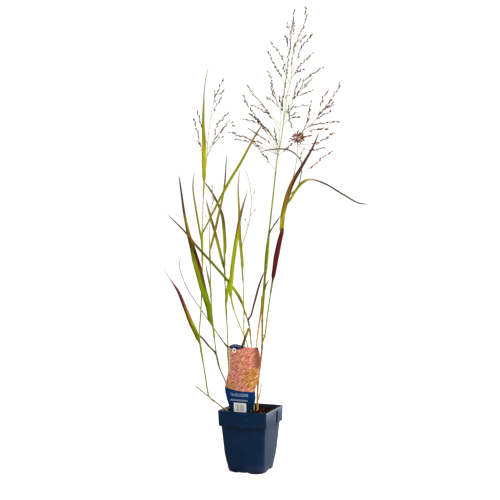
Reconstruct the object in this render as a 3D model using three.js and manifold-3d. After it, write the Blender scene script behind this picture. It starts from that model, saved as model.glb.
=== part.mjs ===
// Switchgrass in a square nursery pot: reed-like culms with strap leaves and open seed heads,
// standing in potting soil behind a stake label.
// Millimetres, +Z up. The origin is the middle of the pot's underside, and the pot's sides look
// along X and Y.
// The plant group is turned about Z: in it x runs across the clump, y runs from its front to its back.
import * as THREE from "three";
import { mergeVertices } from "three/addons/utils/BufferGeometryUtils.js";
import Module from "manifold-3d";

const wasm = await Module();
wasm.setup();

// ---------------------------------------------------------------- driving dimensions

const PLANT_TURN = 21.1; // degrees, from the pot's sides to the plant's own x and y
const GAP = 0.3; // between pieces that touch

const POT_HEIGHT = 132;
const RIM_HALF = 55;
const RIM_CORNER = 4;
const LIP = 2.2;
const WALL = 1.6;
const FLOOR = 6;
const SHOULDER_Z = 97.5; // where the tapered body steps out to the collar
const SHOULDER_RISE = 2; // of the step outside
const INNER_SHOULDER_RISE = 3.5; // of the step inside, over the same level
const COLLAR_HALF = 53.9;
// Outside of the tapered body, from the foot up: height, half width, corner radius.
const BODY = [
  [0, 40.5, 22],
  [3, 41.6, 20.5],
  [12, 42.5, 18],
  [40, 45.7, 10],
  [70, 47.9, 8],
  [95, 49.6, 6],
  [SHOULDER_Z, 50, 6],
];
const CORNER_STEPS = 4;
const ARCH = { width: 34, height: 3.5, depth: 6 };
const DRAIN = { offset: 5, width: 5, height: 4.5, depth: 9, hole: 5 };
const BOSS = { z: 109, radius: 13, proud: 0.9 };
// The label pocket in the collar's right side, from and to along Y, with its own walls behind it.
const POCKET = { from: 10, to: 20, low: 100, high: 125, depth: 3.5, wall: WALL };
const OVERCUT = 3; // how far a cutting solid reaches past the face it cuts

const SOIL_TOP = 124;
const SOIL_UNEVEN = 2.5;
const HOLE_CLEARANCE = 0.4; // round a stem, whose sides are flat between their corners
const SOIL_RINGS = [0.88, 0.68, 0.46, 0.22]; // of the top surface, as shares of its width

const CULM_SIDES = 6;
const CULM_STEP = 26; // between the sections of a culm
const BLADE_THICKNESS = 0.65;
const BLADE_STEP = 34;
const SHEATH_HALF_ANGLE = 2; // radians, of the arc that holds the culm
const BLADE_HALF_ANGLE = 0.45; // radians, of the shallow trough of a blade
const SHEATH_PLAY = GAP + 0.05; // between a culm's corners and its sheath
const OPENING = 16; // length over which a sheath opens out into its blade
const BRANCH_RADIUS = 0.55; // of a seed head's branch where it starts
const TWIG_RADIUS = 0.42; // and at its tip
const TWIG_STEP = 16;
// bare is the share of a branch that carries no spikelets, and axisBare that of the head's own axis.
const SPIKELET = {
  length: 4.8,
  radius: 0.95,
  spacing: 11.5,
  spread: 0.25,
  lean: 0.5,
  bare: 0.35,
  axisBare: 0.75,
};

// ---------------------------------------------------------------- meshes and solids

function meshOf(points, triangles) {
  const geometry = new THREE.BufferGeometry();
  const flat = points.flatMap((p) => [p.x, p.y, p.z]);
  geometry.setAttribute("position", new THREE.Float32BufferAttribute(flat, 3));
  geometry.setIndex(triangles);
  return signedVolume(points, triangles) < 0 ? turned(geometry) : geometry;
}

function signedVolume(points, triangles) {
  let six = 0;
  for (let i = 0; i < triangles.length; i += 3) {
    const [a, b, c] = [0, 1, 2].map((k) => points[triangles[i + k]]);
    six += a.dot(new THREE.Vector3().crossVectors(b, c));
  }
  return six / 6;
}

function turned(geometry) {
  const index = geometry.index.array;
  for (let i = 0; i < index.length; i += 3)
    [index[i + 1], index[i + 2]] = [index[i + 2], index[i + 1]];
  return geometry;
}

// Rings of equal length joined into one closed surface, with a fan over each end.
function loft(rings) {
  const n = rings[0].length;
  const last = (rings.length - 1) * n;
  const triangles = [];
  for (let row = 0; row < last; row += n)
    for (let j = 0; j < n; j++) {
      const next = (j + 1) % n;
      const [a, b, c, d] = [row + j, row + next, row + n + j, row + n + next];
      triangles.push(a, b, d, a, d, c);
    }
  for (let j = 1; j + 1 < n; j++)
    triangles.push(0, j + 1, j, last, last + j, last + j + 1);
  return meshOf(rings.flat(), triangles);
}

// Two alike grids of points, the faces of a thin sheet, closed along their four edges.
// Both faces are split along the same diagonals, so they never cross.
function sheet(front, back) {
  const rows = front.length;
  const columns = front[0].length;
  const at = (side, i, j) => (side * rows + i) * columns + j;
  const triangles = [];
  const quad = (a, b, d, c) => triangles.push(a, b, d, a, d, c);
  for (let i = 0; i + 1 < rows; i++) {
    for (let j = 0; j + 1 < columns; j++) {
      quad(at(0, i, j), at(0, i, j + 1), at(0, i + 1, j + 1), at(0, i + 1, j));
      triangles.push(at(1, i, j), at(1, i + 1, j + 1), at(1, i, j + 1));
      triangles.push(at(1, i, j), at(1, i + 1, j), at(1, i + 1, j + 1));
    }
    const j = columns - 1;
    quad(at(1, i, 0), at(0, i, 0), at(0, i + 1, 0), at(1, i + 1, 0));
    quad(at(0, i, j), at(1, i, j), at(1, i + 1, j), at(0, i + 1, j));
  }
  for (let j = 0; j + 1 < columns; j++) {
    const i = rows - 1;
    quad(at(1, 0, j), at(1, 0, j + 1), at(0, 0, j + 1), at(0, 0, j));
    quad(at(0, i, j), at(0, i, j + 1), at(1, i, j + 1), at(1, i, j));
  }
  return meshOf([...front.flat(), ...back.flat()], triangles);
}

function solidOf(geometry) {
  const bare = geometry.clone();
  bare.deleteAttribute("normal");
  bare.deleteAttribute("uv");
  const merged = mergeVertices(bare, 1e-3);
  return new wasm.Manifold(
    new wasm.Mesh({
      numProp: 3,
      vertProperties: merged.attributes.position.array,
      triVerts: new Uint32Array(merged.index.array),
    }),
  );
}

function geometryOf(solid) {
  const mesh = solid.getMesh();
  const geometry = new THREE.BufferGeometry();
  geometry.setAttribute(
    "position",
    new THREE.BufferAttribute(mesh.vertProperties, 3),
  );
  geometry.setIndex(new THREE.BufferAttribute(mesh.triVerts, 1));
  return geometry;
}

const joined = (geometries) =>
  geometryOf(geometries.map(solidOf).reduce((a, b) => a.add(b)));

// A box between two corners.
function block(low, high) {
  const [a, b] = [new THREE.Vector3(...low), new THREE.Vector3(...high)];
  const size = b.clone().sub(a);
  const middle = a.add(b).multiplyScalar(0.5);
  return new THREE.BoxGeometry(size.x, size.y, size.z).translate(
    middle.x,
    middle.y,
    middle.z,
  );
}

// A repeatable draw between 0 and 1.
function randomFrom(seed) {
  let state = seed;
  return () => {
    state = (state + 0x6d2b79f5) | 0;
    let mixed = Math.imul(state ^ (state >>> 15), 1 | state);
    mixed = (mixed + Math.imul(mixed ^ (mixed >>> 7), 61 | mixed)) ^ mixed;
    return ((mixed ^ (mixed >>> 14)) >>> 0) / 4294967296;
  };
}

const root = new THREE.Group();
const plant = new THREE.Group();
plant.rotation.z = THREE.MathUtils.degToRad(PLANT_TURN);
root.add(plant);

function place(group, name, geometry, color, roughness) {
  const material = new THREE.MeshStandardMaterial({
    color,
    roughness,
    metalness: 0,
  });
  const mesh = new THREE.Mesh(geometry, material);
  mesh.name = name;
  group.add(mesh);
}

// ---------------------------------------------------------------- pot

function roundedSquare(z, half, radius) {
  const ring = [];
  for (let corner = 0; corner < 4; corner++)
    for (let k = 0; k <= CORNER_STEPS; k++) {
      const angle = (Math.PI / 2) * (corner + k / CORNER_STEPS);
      const turn = (Math.PI / 2) * corner + Math.PI / 4;
      const centre = (half - radius) * Math.SQRT2;
      ring.push(
        new THREE.Vector3(
          centre * Math.cos(turn) + radius * Math.cos(angle),
          centre * Math.sin(turn) + radius * Math.sin(angle),
          z,
        ),
      );
    }
  return ring;
}

// The body's outline at a height, between its listed levels.
function bodyAt(z) {
  const top = Math.max(
    1,
    BODY.findIndex(([level]) => level >= z),
  );
  const [[z0, half0, radius0], [z1, half1, radius1]] = [
    BODY[top - 1],
    BODY[top],
  ];
  const t = (z - z0) / (z1 - z0);
  return {
    half: half0 + t * (half1 - half0),
    radius: radius0 + t * (radius1 - radius0),
  };
}

// The cavity of the pot, drawn in by a clearance.
function cavityRings(clearance, top) {
  const inset = WALL + clearance;
  const middles = BODY.slice(2, 5).map(([z]) => z);
  const levels = [FLOOR + clearance, ...middles, SHOULDER_Z - 1];
  const rings = levels.map((z) => {
    const { half, radius } = bodyAt(z);
    return roundedSquare(z, half - inset, radius - WALL / 2);
  });
  const step = SHOULDER_Z + INNER_SHOULDER_RISE;
  rings.push(roundedSquare(step, COLLAR_HALF - inset, RIM_CORNER));
  rings.push(
    roundedSquare(top, RIM_HALF - LIP - clearance, RIM_CORNER - WALL / 2),
  );
  return rings;
}

function potShell() {
  const outside = BODY.map(([z, half, radius]) =>
    roundedSquare(z, half, radius),
  );
  const step = SHOULDER_Z + SHOULDER_RISE;
  outside.push(roundedSquare(step, COLLAR_HALF, RIM_CORNER));
  outside.push(roundedSquare(POT_HEIGHT, RIM_HALF, RIM_CORNER));
  return loft([...outside, ...cavityRings(0, POT_HEIGHT).reverse()]);
}

// A shallow arch and a drain under one side: the notch runs in below the floor to a hole through it.
function footCuts() {
  const foot = BODY[0][1];
  const outer = foot + OVERCUT;
  const inner = foot - ARCH.depth;
  const arch = new THREE.Shape();
  arch.moveTo(-ARCH.width / 2, -OVERCUT);
  arch.lineTo(ARCH.width / 2, -OVERCUT);
  arch.lineTo(ARCH.width / 2, 0);
  arch.quadraticCurveTo(0, ARCH.height * 2, -ARCH.width / 2, 0);
  const vault = new THREE.ExtrudeGeometry(arch, {
    depth: outer - inner,
    bevelEnabled: false,
    curveSegments: 8,
  });
  vault.rotateX(Math.PI / 2).translate(0, -inner, 0);
  const [left, right] = [
    DRAIN.offset - DRAIN.width / 2,
    DRAIN.offset + DRAIN.width / 2,
  ];
  const back = foot - DRAIN.depth;
  const notch = block([left, -outer, -OVERCUT], [right, -back, DRAIN.height]);
  const hole = block(
    [left, -back - DRAIN.hole, -OVERCUT],
    [right, -back, FLOOR + OVERCUT],
  );
  return [vault, notch, hole];
}

// A round boss on the front of the collar, whose lower edge hangs over the tapered body.
function collarBoss() {
  const back = bodyAt(SHOULDER_Z).half - WALL;
  const front = COLLAR_HALF + BOSS.proud;
  const disc = new THREE.CylinderGeometry(
    BOSS.radius,
    BOSS.radius,
    front - back,
    32,
  );
  return disc.translate(0, -(front + back) / 2, BOSS.z);
}

function makePot() {
  let pot = solidOf(potShell());
  for (let side = 0; side < 4; side++)
    for (const cut of footCuts())
      pot = pot.subtract(solidOf(cut.rotateZ((Math.PI / 2) * side)));
  const cavity = solidOf(loft(cavityRings(0, POT_HEIGHT + 1)));
  pot = pot.add(solidOf(collarBoss()).subtract(cavity));
  const pocketFloor = COLLAR_HALF - POCKET.depth;
  const pocket = block(
    [pocketFloor, POCKET.from, POCKET.low],
    [RIM_HALF + OVERCUT, POCKET.to, POCKET.high],
  );
  const housing = block(...housingCorners(0, POCKET.high + POCKET.wall));
  return pot.add(solidOf(housing)).subtract(solidOf(pocket));
}

// The corners of the pocket's housing inside the collar, grown by a clearance.
function housingCorners(clearance, top) {
  const out = POCKET.wall + clearance;
  const back = COLLAR_HALF - POCKET.depth - out;
  return [
    [back, POCKET.from - out, SHOULDER_Z - clearance],
    [COLLAR_HALF, POCKET.to + out, top],
  ];
}

place(root, "pot", geometryOf(makePot()), 0x14284e, 0.45);

// ---------------------------------------------------------------- culms

// Each path starts in the soil. The radius falls evenly from base to tip.
const CULMS = {
  a: {
    base: 1.6,
    tip: 0.9,
    color: 0x9c9a4f,
    path: [
      [-28, -12, 92],
      [-35, -12, 110],
      [-49, -12, 125],
      [-70, -11.5, 142],
      [-89, -11, 157],
      [-93, -10, 172],
      [-98, -8, 204],
      [-108, -4, 263],
      [-111, -1, 292],
      [-108, 1, 334],
      [-105, 5, 426],
      [-105, 8, 512],
      [-102, 8, 601],
      [-101, 8, 621],
    ],
    // the cut stub of an older stem, level with the fork
    stubs: [
      {
        radius: 1.5,
        path: [
          [-88, -11, 156],
          [-103, -12.5, 168],
          [-117, -14, 180],
        ],
      },
    ],
  },
  b: {
    base: 1.5,
    tip: 0.7,
    color: 0x8f9147,
    path: [
      [-19, -3, 92],
      [-30, -3, 125],
      [-56, 0, 191],
      [-69, 1, 222],
      [-79, 4, 283],
      [-86, 9, 363],
      [-88, 13, 426],
      [-90, 16, 495],
    ],
  },
  c: {
    base: 1.5,
    tip: 1,
    color: 0x8d8c4c,
    path: [
      [-36, 13, 92],
      [-41, 14, 122],
      [-49, 20, 217],
      [-50, 23, 265],
      [-56, 29, 384],
      [-58, 32, 460],
    ],
  },
  d: {
    base: 1.5,
    tip: 1.1,
    color: 0x9a8a55,
    path: [
      [8, -2, 92],
      [7, -3, 124],
      [1, -6, 263],
      [-4, -8, 311],
      [-13, -9, 340],
      [-17, -10, 352],
    ],
  },
  e: {
    base: 2.2,
    tip: 1.2,
    color: 0x8c9a45,
    path: [
      [13, 3, 92],
      [14, 3, 123],
      [15, 4, 178],
      [24, 7, 258],
      [25, 10, 326],
      [29, 12, 393],
      [35, 14, 470],
      [45, 18, 558],
      [54, 21, 640],
    ],
    // a cut stub low down, a broken twig at the fork and the torn tip of a sheath
    stubs: [
      {
        radius: 1.3,
        path: [
          [14.5, 4, 144],
          [18, 3, 155],
          [23, 1, 184],
        ],
      },
      {
        radius: 0.7,
        path: [
          [25, 8, 288],
          [31, 5, 286],
          [37, 3, 281],
        ],
      },
      {
        radius: 0.9,
        path: [
          [29, 12, 388],
          [33, 9, 397],
          [38, 6, 407],
        ],
      },
    ],
    // the side stem that leaves low down and reaches as high as its culm
    side: {
      base: 1.5,
      tip: 0.8,
      path: [
        [25, 8, 270],
        [30, 6, 286],
        [36, -2, 333],
        [46, -11, 403],
        [62, -20, 497],
        [77, -28, 582],
        [90, -31, 626],
      ],
    },
  },
  f: {
    base: 1.4,
    tip: 0.8,
    color: 0xa08f5e,
    path: [
      [-3, 10, 92],
      [-4, 10, 123],
      [-15, 14, 291],
      [-15, 16, 319],
      [-16, 19, 384],
      [-20, 22, 454],
      [-19, 23, 482],
    ],
  },
  g: {
    base: 1.3,
    tip: 1,
    color: 0x8a9448,
    path: [
      [1, -9, 92],
      [0, -10, 125],
      [-6, -16, 263],
      [-21, -18, 304],
      [-36, -21, 343],
      [-45, -23, 386],
    ],
  },
};

const vector = ([x, y, z]) => new THREE.Vector3(x, y, z);
const curveThrough = (path) =>
  new THREE.CatmullRomCurve3(
    path.map((p) => (p.isVector3 ? p : vector(p))),
    false,
    "centripetal",
  );
const mix = (a, b, t) => a + (b - a) * t;

// The part of a direction that lies square to a tangent, at unit length.
const square = (direction, tangent) =>
  direction
    .clone()
    .addScaledVector(tangent, -direction.dot(tangent))
    .normalize();

// The middles of a culm's sections, with its direction and radius at each.
function axisOf({ base, tip, path }) {
  const curve = curveThrough(path);
  const count = Math.round(curve.getLength() / CULM_STEP);
  const middles = curve.getSpacedPoints(count);
  return middles.map((middle, i) => {
    const before = middles[Math.max(0, i - 1)];
    const after = middles[Math.min(count, i + 1)];
    return {
      middle,
      tangent: after.clone().sub(before).normalize(),
      radius: mix(base, tip, i / count),
    };
  });
}

function sectionRing({ middle, tangent, radius }, sides, reference) {
  const across = square(reference, tangent);
  const along = new THREE.Vector3().crossVectors(tangent, across);
  return Array.from({ length: sides }, (_, k) => {
    const angle = (2 * Math.PI * k) / sides;
    return middle
      .clone()
      .addScaledVector(across, radius * Math.cos(angle))
      .addScaledVector(along, radius * Math.sin(angle));
  });
}

const RIGHT = new THREE.Vector3(1, 0, 0);
const rod = (axis) =>
  loft(axis.map((section) => sectionRing(section, CULM_SIDES, RIGHT)));

const axes = {};

// A culm's middle, direction and radius at a height.
function culmAt(name, z) {
  const axis = axes[name];
  const above = Math.max(
    1,
    axis.findIndex(({ middle }) => middle.z > z),
  );
  const [low, high] = [axis[above - 1], axis[above]];
  const t = (z - low.middle.z) / (high.middle.z - low.middle.z);
  return {
    middle: low.middle.clone().lerp(high.middle, t),
    tangent: high.middle.clone().sub(low.middle).normalize(),
    radius: mix(low.radius, high.radius, t),
  };
}

for (const [name, culm] of Object.entries(CULMS)) {
  axes[name] = axisOf(culm);
  const rods = [rod(axes[name])];
  const rooted = (path) => [culmAt(name, path[0][2]).middle, ...path.slice(1)];
  for (const { radius, path } of culm.stubs ?? [])
    rods.push(rod(axisOf({ base: radius, tip: radius, path: rooted(path) })));
  if (culm.side) {
    axes.side = axisOf({ ...culm.side, path: rooted(culm.side.path) });
    rods.push(rod(axes.side));
  }
  place(plant, "culm_" + name, joined(rods), culm.color, 0.6);
}

// ---------------------------------------------------------------- leaves

// A leaf holds its culm with a sheath of the given length that ends at the collar's height.
// out is where its back faces, in degrees: 0 to the front, 90 to the right. It turns by twist
// along the blade.
// The blade's points are x, y, z and the width there.
const LEAVES = {
  // left-hand culm, from the bottom up
  a1: {
    culm: "a",
    collar: 268,
    sheath: 26,
    out: -20,
    color: 0x8a4a2f,
    columns: 5,
    blade: [
      [-114, -9, 281, 9.5],
      [-120, -14, 298, 11],
      [-128, -19, 316, 11],
      [-140, -26, 348, 8.8],
      [-154, -32, 383, 5.4],
      [-171, -36, 411, 2.4],
      [-188, -38, 438, 1.2],
    ],
  },
  a2: {
    culm: "a",
    collar: 472,
    sheath: 24,
    out: -10,
    color: 0x73703f,
    blade: [
      [-106, 2, 491, 4.6],
      [-110, -2, 512, 4.4],
      [-118, -8, 560, 3.8],
      [-124, -11, 606, 2.6],
      [-121, -12, 643, 1],
    ],
  },
  a3: {
    culm: "a",
    collar: 508,
    sheath: 22,
    out: 40,
    twist: -35,
    color: 0x8b8f3a,
    blade: [
      [-90, 0, 535, 3.8],
      [-75, -8, 564, 4.8],
      [-47, -22, 615, 6],
      [-23, -30, 654, 5.2],
      [8, -40, 710, 3.4],
      [28, -44, 742, 1],
    ],
  },
  a4: {
    culm: "a",
    collar: 617,
    sheath: 24,
    out: 0,
    color: 0xb0b030,
    columns: 5,
    blade: [
      [-101, 1, 640, 8],
      [-101, -5, 675, 9.4],
      [-101, -8, 705, 8.2],
      [-102, -12, 745, 5.6],
      [-101, -15, 780, 3.8],
      [-100, -17, 802, 2.6],
      [-97, -19, 832, 1.8],
      [-90, -20, 863, 1],
    ],
  },
  // second culm
  b1: {
    culm: "b",
    collar: 243,
    sheath: 22,
    out: 205,
    color: 0x3c2c22,
    blade: [
      [-79, 7.5, 251, 4.4],
      [-91, 12, 263, 4],
      [-102, 14, 276, 3.6],
      [-126, 18, 300, 1.4],
    ],
  },
  b2: {
    culm: "b",
    collar: 307,
    sheath: 26,
    out: -15,
    color: 0x7b6a35,
    columns: 5,
    blade: [
      [-89, -1, 328, 11],
      [-90.5, -3, 345, 12.4],
      [-96.5, -6, 366, 13.6],
      [-104, -10, 393, 15.2],
      [-112.5, -13, 427, 16.6],
      [-120, -15, 455, 14.8],
      [-126.8, -17, 482, 11],
      [-134.5, -18, 511, 7.6],
      [-143, -20, 555, 5.2],
      [-150, -20, 607, 3.4],
      [-154, -20, 634, 1.1],
    ],
  },
  b3: {
    culm: "b",
    collar: 385,
    sheath: 20,
    out: -10,
    color: 0x8a8743,
    blade: [
      [-89, 5, 397, 3.9],
      [-92, 2.5, 412, 3.7],
      [-95, 1, 428, 2.2],
      [-98, -1, 446, 1],
    ],
  },
  b4: {
    culm: "b",
    collar: 470,
    sheath: 24,
    out: 170,
    color: 0x6f6a3a,
    blade: [
      [-85, 20, 487, 5],
      [-80, 22.5, 506, 5],
      [-72, 26, 542, 5],
      [-59, 31, 604, 3.8],
      [-53, 34, 684, 1],
    ],
  },
  // third culm
  c1: {
    culm: "c",
    collar: 258,
    sheath: 22,
    out: 195,
    color: 0x8b8272,
    blade: [
      [-59, 33, 268, 4.2],
      [-80, 32, 298, 2.2],
      [-108, 37, 338, 1.9],
      [-143, 42, 392, 1.8],
      [-158, 44, 442, 1.6],
      [-152, 44, 459, 1],
    ],
  },
  c2: {
    culm: "c",
    collar: 350,
    sheath: 22,
    out: 10,
    color: 0x9aa042,
    blade: [
      [-53, 21, 369, 6.6],
      [-51, 17, 387, 5.8],
      [-46, 14, 415, 1],
    ],
  },
  c3: {
    culm: "c",
    collar: 427,
    sheath: 24,
    out: 190,
    color: 0x6d7038,
    blade: [
      [-63, 38, 447, 5.6],
      [-79, 50, 508, 6],
      [-94, 58, 560, 4.2],
      [-101, 61, 588, 1],
    ],
  },
  c4: {
    culm: "c",
    collar: 458,
    sheath: 20,
    out: 180,
    color: 0x5d5434,
    blade: [
      [-57, 36, 480, 6.6],
      [-58, 38, 501, 6.8],
      [-62, 40, 542, 6.6],
      [-70, 44, 567, 5],
      [-92, 53, 608, 3.4],
      [-109, 57, 628, 1],
    ],
  },
  // fourth culm
  d1: {
    culm: "d",
    collar: 300,
    sheath: 12,
    out: -20,
    color: 0x43301f,
    blade: [
      [-5.5, -15.5, 305, 5],
      [-7, -20, 299, 5.2],
      [-11, -23, 288, 5.2],
      [-18.5, -27, 268, 5],
      [-24, -30, 252, 1.2],
    ],
  },
  d2: {
    culm: "d",
    collar: 320,
    sheath: 11,
    out: 40,
    color: 0x5b3b3a,
    blade: [
      [0.5, -14, 331, 4.4],
      [4.5, -18, 347, 4.2],
      [10, -22, 368, 4],
      [17.2, -25, 395, 3.6],
      [27, -29, 427, 1.2],
    ],
  },
  d3: {
    culm: "d",
    collar: 350,
    sheath: 20,
    out: -15,
    color: 0x6c6a35,
    blade: [
      [-23.5, -12.5, 368, 6.6],
      [-45, -14, 400, 5.8],
      [-78, -20, 439, 5.2],
      [-117, -32, 482, 4.8],
      [-140, -38, 511, 3.4],
      [-177, -44, 548, 1],
    ],
  },
  // right-hand culm
  e1: {
    culm: "e",
    collar: 366,
    sheath: 24,
    out: -15,
    color: 0xc29a5a,
    blade: [
      [25, 3, 373, 3.8],
      [23.5, 0, 367, 3.8],
      [23, -1.5, 350, 3.7],
      [21.3, -1.8, 336, 3.6],
      [18, -2.5, 313, 3.4],
      [14, -4, 285, 3.2],
      [8, -8, 236, 1],
    ],
  },
  e2: {
    culm: "e",
    collar: 506,
    sheath: 86,
    out: 75,
    twist: -60,
    color: 0x4c3a2b,
    blade: [
      [47, 14.5, 520, 3.4],
      [56, 12.5, 533, 3.2],
      [65, 9, 547, 2],
    ],
  },
  // its side stem
  h1: {
    culm: "side",
    collar: 405,
    sheath: 24,
    out: 0,
    color: 0x6a2430,
    columns: 5,
    blade: [
      [49.5, -19, 427, 8.8],
      [53.8, -24, 455, 10.9],
      [60.8, -30, 491, 9.6],
      [65.3, -32.5, 508, 8.2],
      [67.3, -34, 519, 6],
    ],
  },
  h2: {
    culm: "side",
    collar: 505,
    sheath: 30,
    out: 0,
    color: 0xa0853a,
    columns: 5,
    blade: [
      [65.3, -27.5, 520, 8.8],
      [67.8, -30.5, 546, 9.6],
      [73.2, -36, 571, 10],
      [78.2, -40, 589, 10],
      [86.6, -45, 611, 8.4],
      [102, -52, 639, 6.6],
      [127, -59, 682, 3.9],
      [143, -62, 719, 1.2],
    ],
  },
  h3: {
    culm: "side",
    collar: 566,
    sheath: 10,
    out: 50,
    twist: -46,
    color: 0x76803a,
    blade: [
      [85, -33, 580, 6.8],
      [94, -34, 595, 6.6],
      [108, -33, 613, 5.4],
      [125, -31, 621, 2.6],
      [156, -25, 613, 3.2],
      [194, -16, 592, 3.2],
      [232, -8, 572, 2.4],
      [256, -4, 570, 1],
    ],
  },
  h4: {
    culm: "side",
    collar: 581,
    sheath: 10,
    out: 125,
    color: 0x4a4030,
    blade: [
      [87, -20, 592, 4.2],
      [100, -13, 606, 2.6],
      [109, -7, 643, 2.6],
      [107, -6, 664, 2.6],
      [82, -4, 686, 2.6],
      [41, -4, 687, 2.4],
      [13, -6, 679, 1],
    ],
  },
  // thin culm at the back
  f1: {
    culm: "f",
    collar: 426,
    sheath: 22,
    out: 185,
    color: 0x6e683a,
    blade: [
      [-19, 27, 445, 6],
      [-24, 33, 498, 6],
      [-26, 39, 559, 4.6],
      [-28, 43, 610, 2.8],
      [-25, 48, 651, 1],
    ],
  },
  // front culm
  g1: {
    culm: "g",
    collar: 366,
    sheath: 22,
    out: 0,
    color: 0xa8ac3c,
    columns: 5,
    blade: [
      [-43.5, -27, 386, 7.8],
      [-41.5, -28, 407, 8.4],
      [-37.5, -26, 450, 8.2],
      [-31, -21, 493, 8],
      [-21, -13, 551, 5],
      [-6, -7, 602, 1.2],
    ],
  },
};

// The unit direction that lies at an angle from the front.
function facing(degrees) {
  const angle = THREE.MathUtils.degToRad(degrees);
  return new THREE.Vector3(Math.sin(angle), -Math.cos(angle), 0);
}

// One row of points on an arc of half angle half round a centre, across a leaf.
function arcRow(centre, back, side, radius, half, columns) {
  return Array.from({ length: columns }, (_, j) => {
    const angle = mix(-half, half, j / (columns - 1));
    return centre
      .clone()
      .addScaledVector(back, radius * Math.cos(angle))
      .addScaledVector(side, radius * Math.sin(angle));
  });
}

// A value between the values that stand at given shares of a length.
function between(shares, values, t) {
  const k = Math.max(
    1,
    shares.findIndex((share) => share >= t),
  );
  const local = (t - shares[k - 1]) / (shares[k] - shares[k - 1]);
  return mix(values[k - 1], values[k], local);
}

function leaf({ culm, collar, sheath, out, twist = 0, blade, columns = 4 }) {
  const front = [];
  const back = [];
  const row = (centre, tangent, degrees, radius, half) => {
    const outward = square(facing(degrees), tangent);
    const side = new THREE.Vector3().crossVectors(tangent, outward);
    const shift = BLADE_THICKNESS / 2;
    front.push(arcRow(centre, outward, side, radius + shift, half, columns));
    back.push(arcRow(centre, outward, side, radius - shift, half, columns));
  };
  const flats = Math.cos(SHEATH_HALF_ANGLE / (columns - 1));
  const around = (radius) => (radius + SHEATH_PLAY) / flats + BLADE_THICKNESS / 2;
  const parts = Math.max(2, Math.round(sheath / CULM_STEP));
  for (let k = parts; k >= 0; k--) {
    const { middle, tangent, radius } = culmAt(culm, collar - (sheath * k) / parts);
    row(middle, tangent, out, around(radius), SHEATH_HALF_ANGLE);
  }
  const { middle, tangent, radius: slim } = culmAt(culm, collar);
  const held = around(slim);
  const start = middle.addScaledVector(square(facing(out), tangent), held);
  const curve = curveThrough([start, ...blade]);
  const length = curve.getLength();
  const knots = blade.length;
  const steps = Array.from({ length: knots + 1 }, (_, k) =>
    k === 0
      ? 0
      : vector(blade[k - 1]).distanceTo(k > 1 ? vector(blade[k - 2]) : start),
  );
  const total = steps.reduce((a, b) => a + b);
  const shares = steps.map(
    (_, k) => steps.slice(0, k + 1).reduce((a, b) => a + b) / total,
  );
  const widths = [blade[0][3], ...blade.map((point) => point[3])];
  const rows = Math.max(3, Math.round((length - OPENING) / BLADE_STEP));
  const places = [OPENING / 3, (2 * OPENING) / 3];
  for (let k = 0; k <= rows; k++)
    places.push(mix(OPENING, length, k / rows));
  for (const s of places) {
    const t = s / length;
    const open = THREE.MathUtils.smoothstep(s, 0, OPENING);
    const half = mix(SHEATH_HALF_ANGLE, BLADE_HALF_ANGLE, open);
    const wide = between(shares, widths, Math.min(t, 1));
    const arc = mix(2 * SHEATH_HALF_ANGLE * held, wide, open);
    const radius = arc / (2 * half);
    const along = curve.getTangentAt(t);
    const degrees = out + twist * t;
    const outward = square(facing(degrees), along);
    const centre = curve.getPointAt(t).addScaledVector(outward, -radius);
    row(centre, along, degrees, radius, half);
  }
  return sheet(front, back);
}

for (const [name, shape] of Object.entries(LEAVES))
  place(plant, "leaf_" + name, leaf(shape), shape.color, 0.55);

// ---------------------------------------------------------------- seed heads

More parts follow.
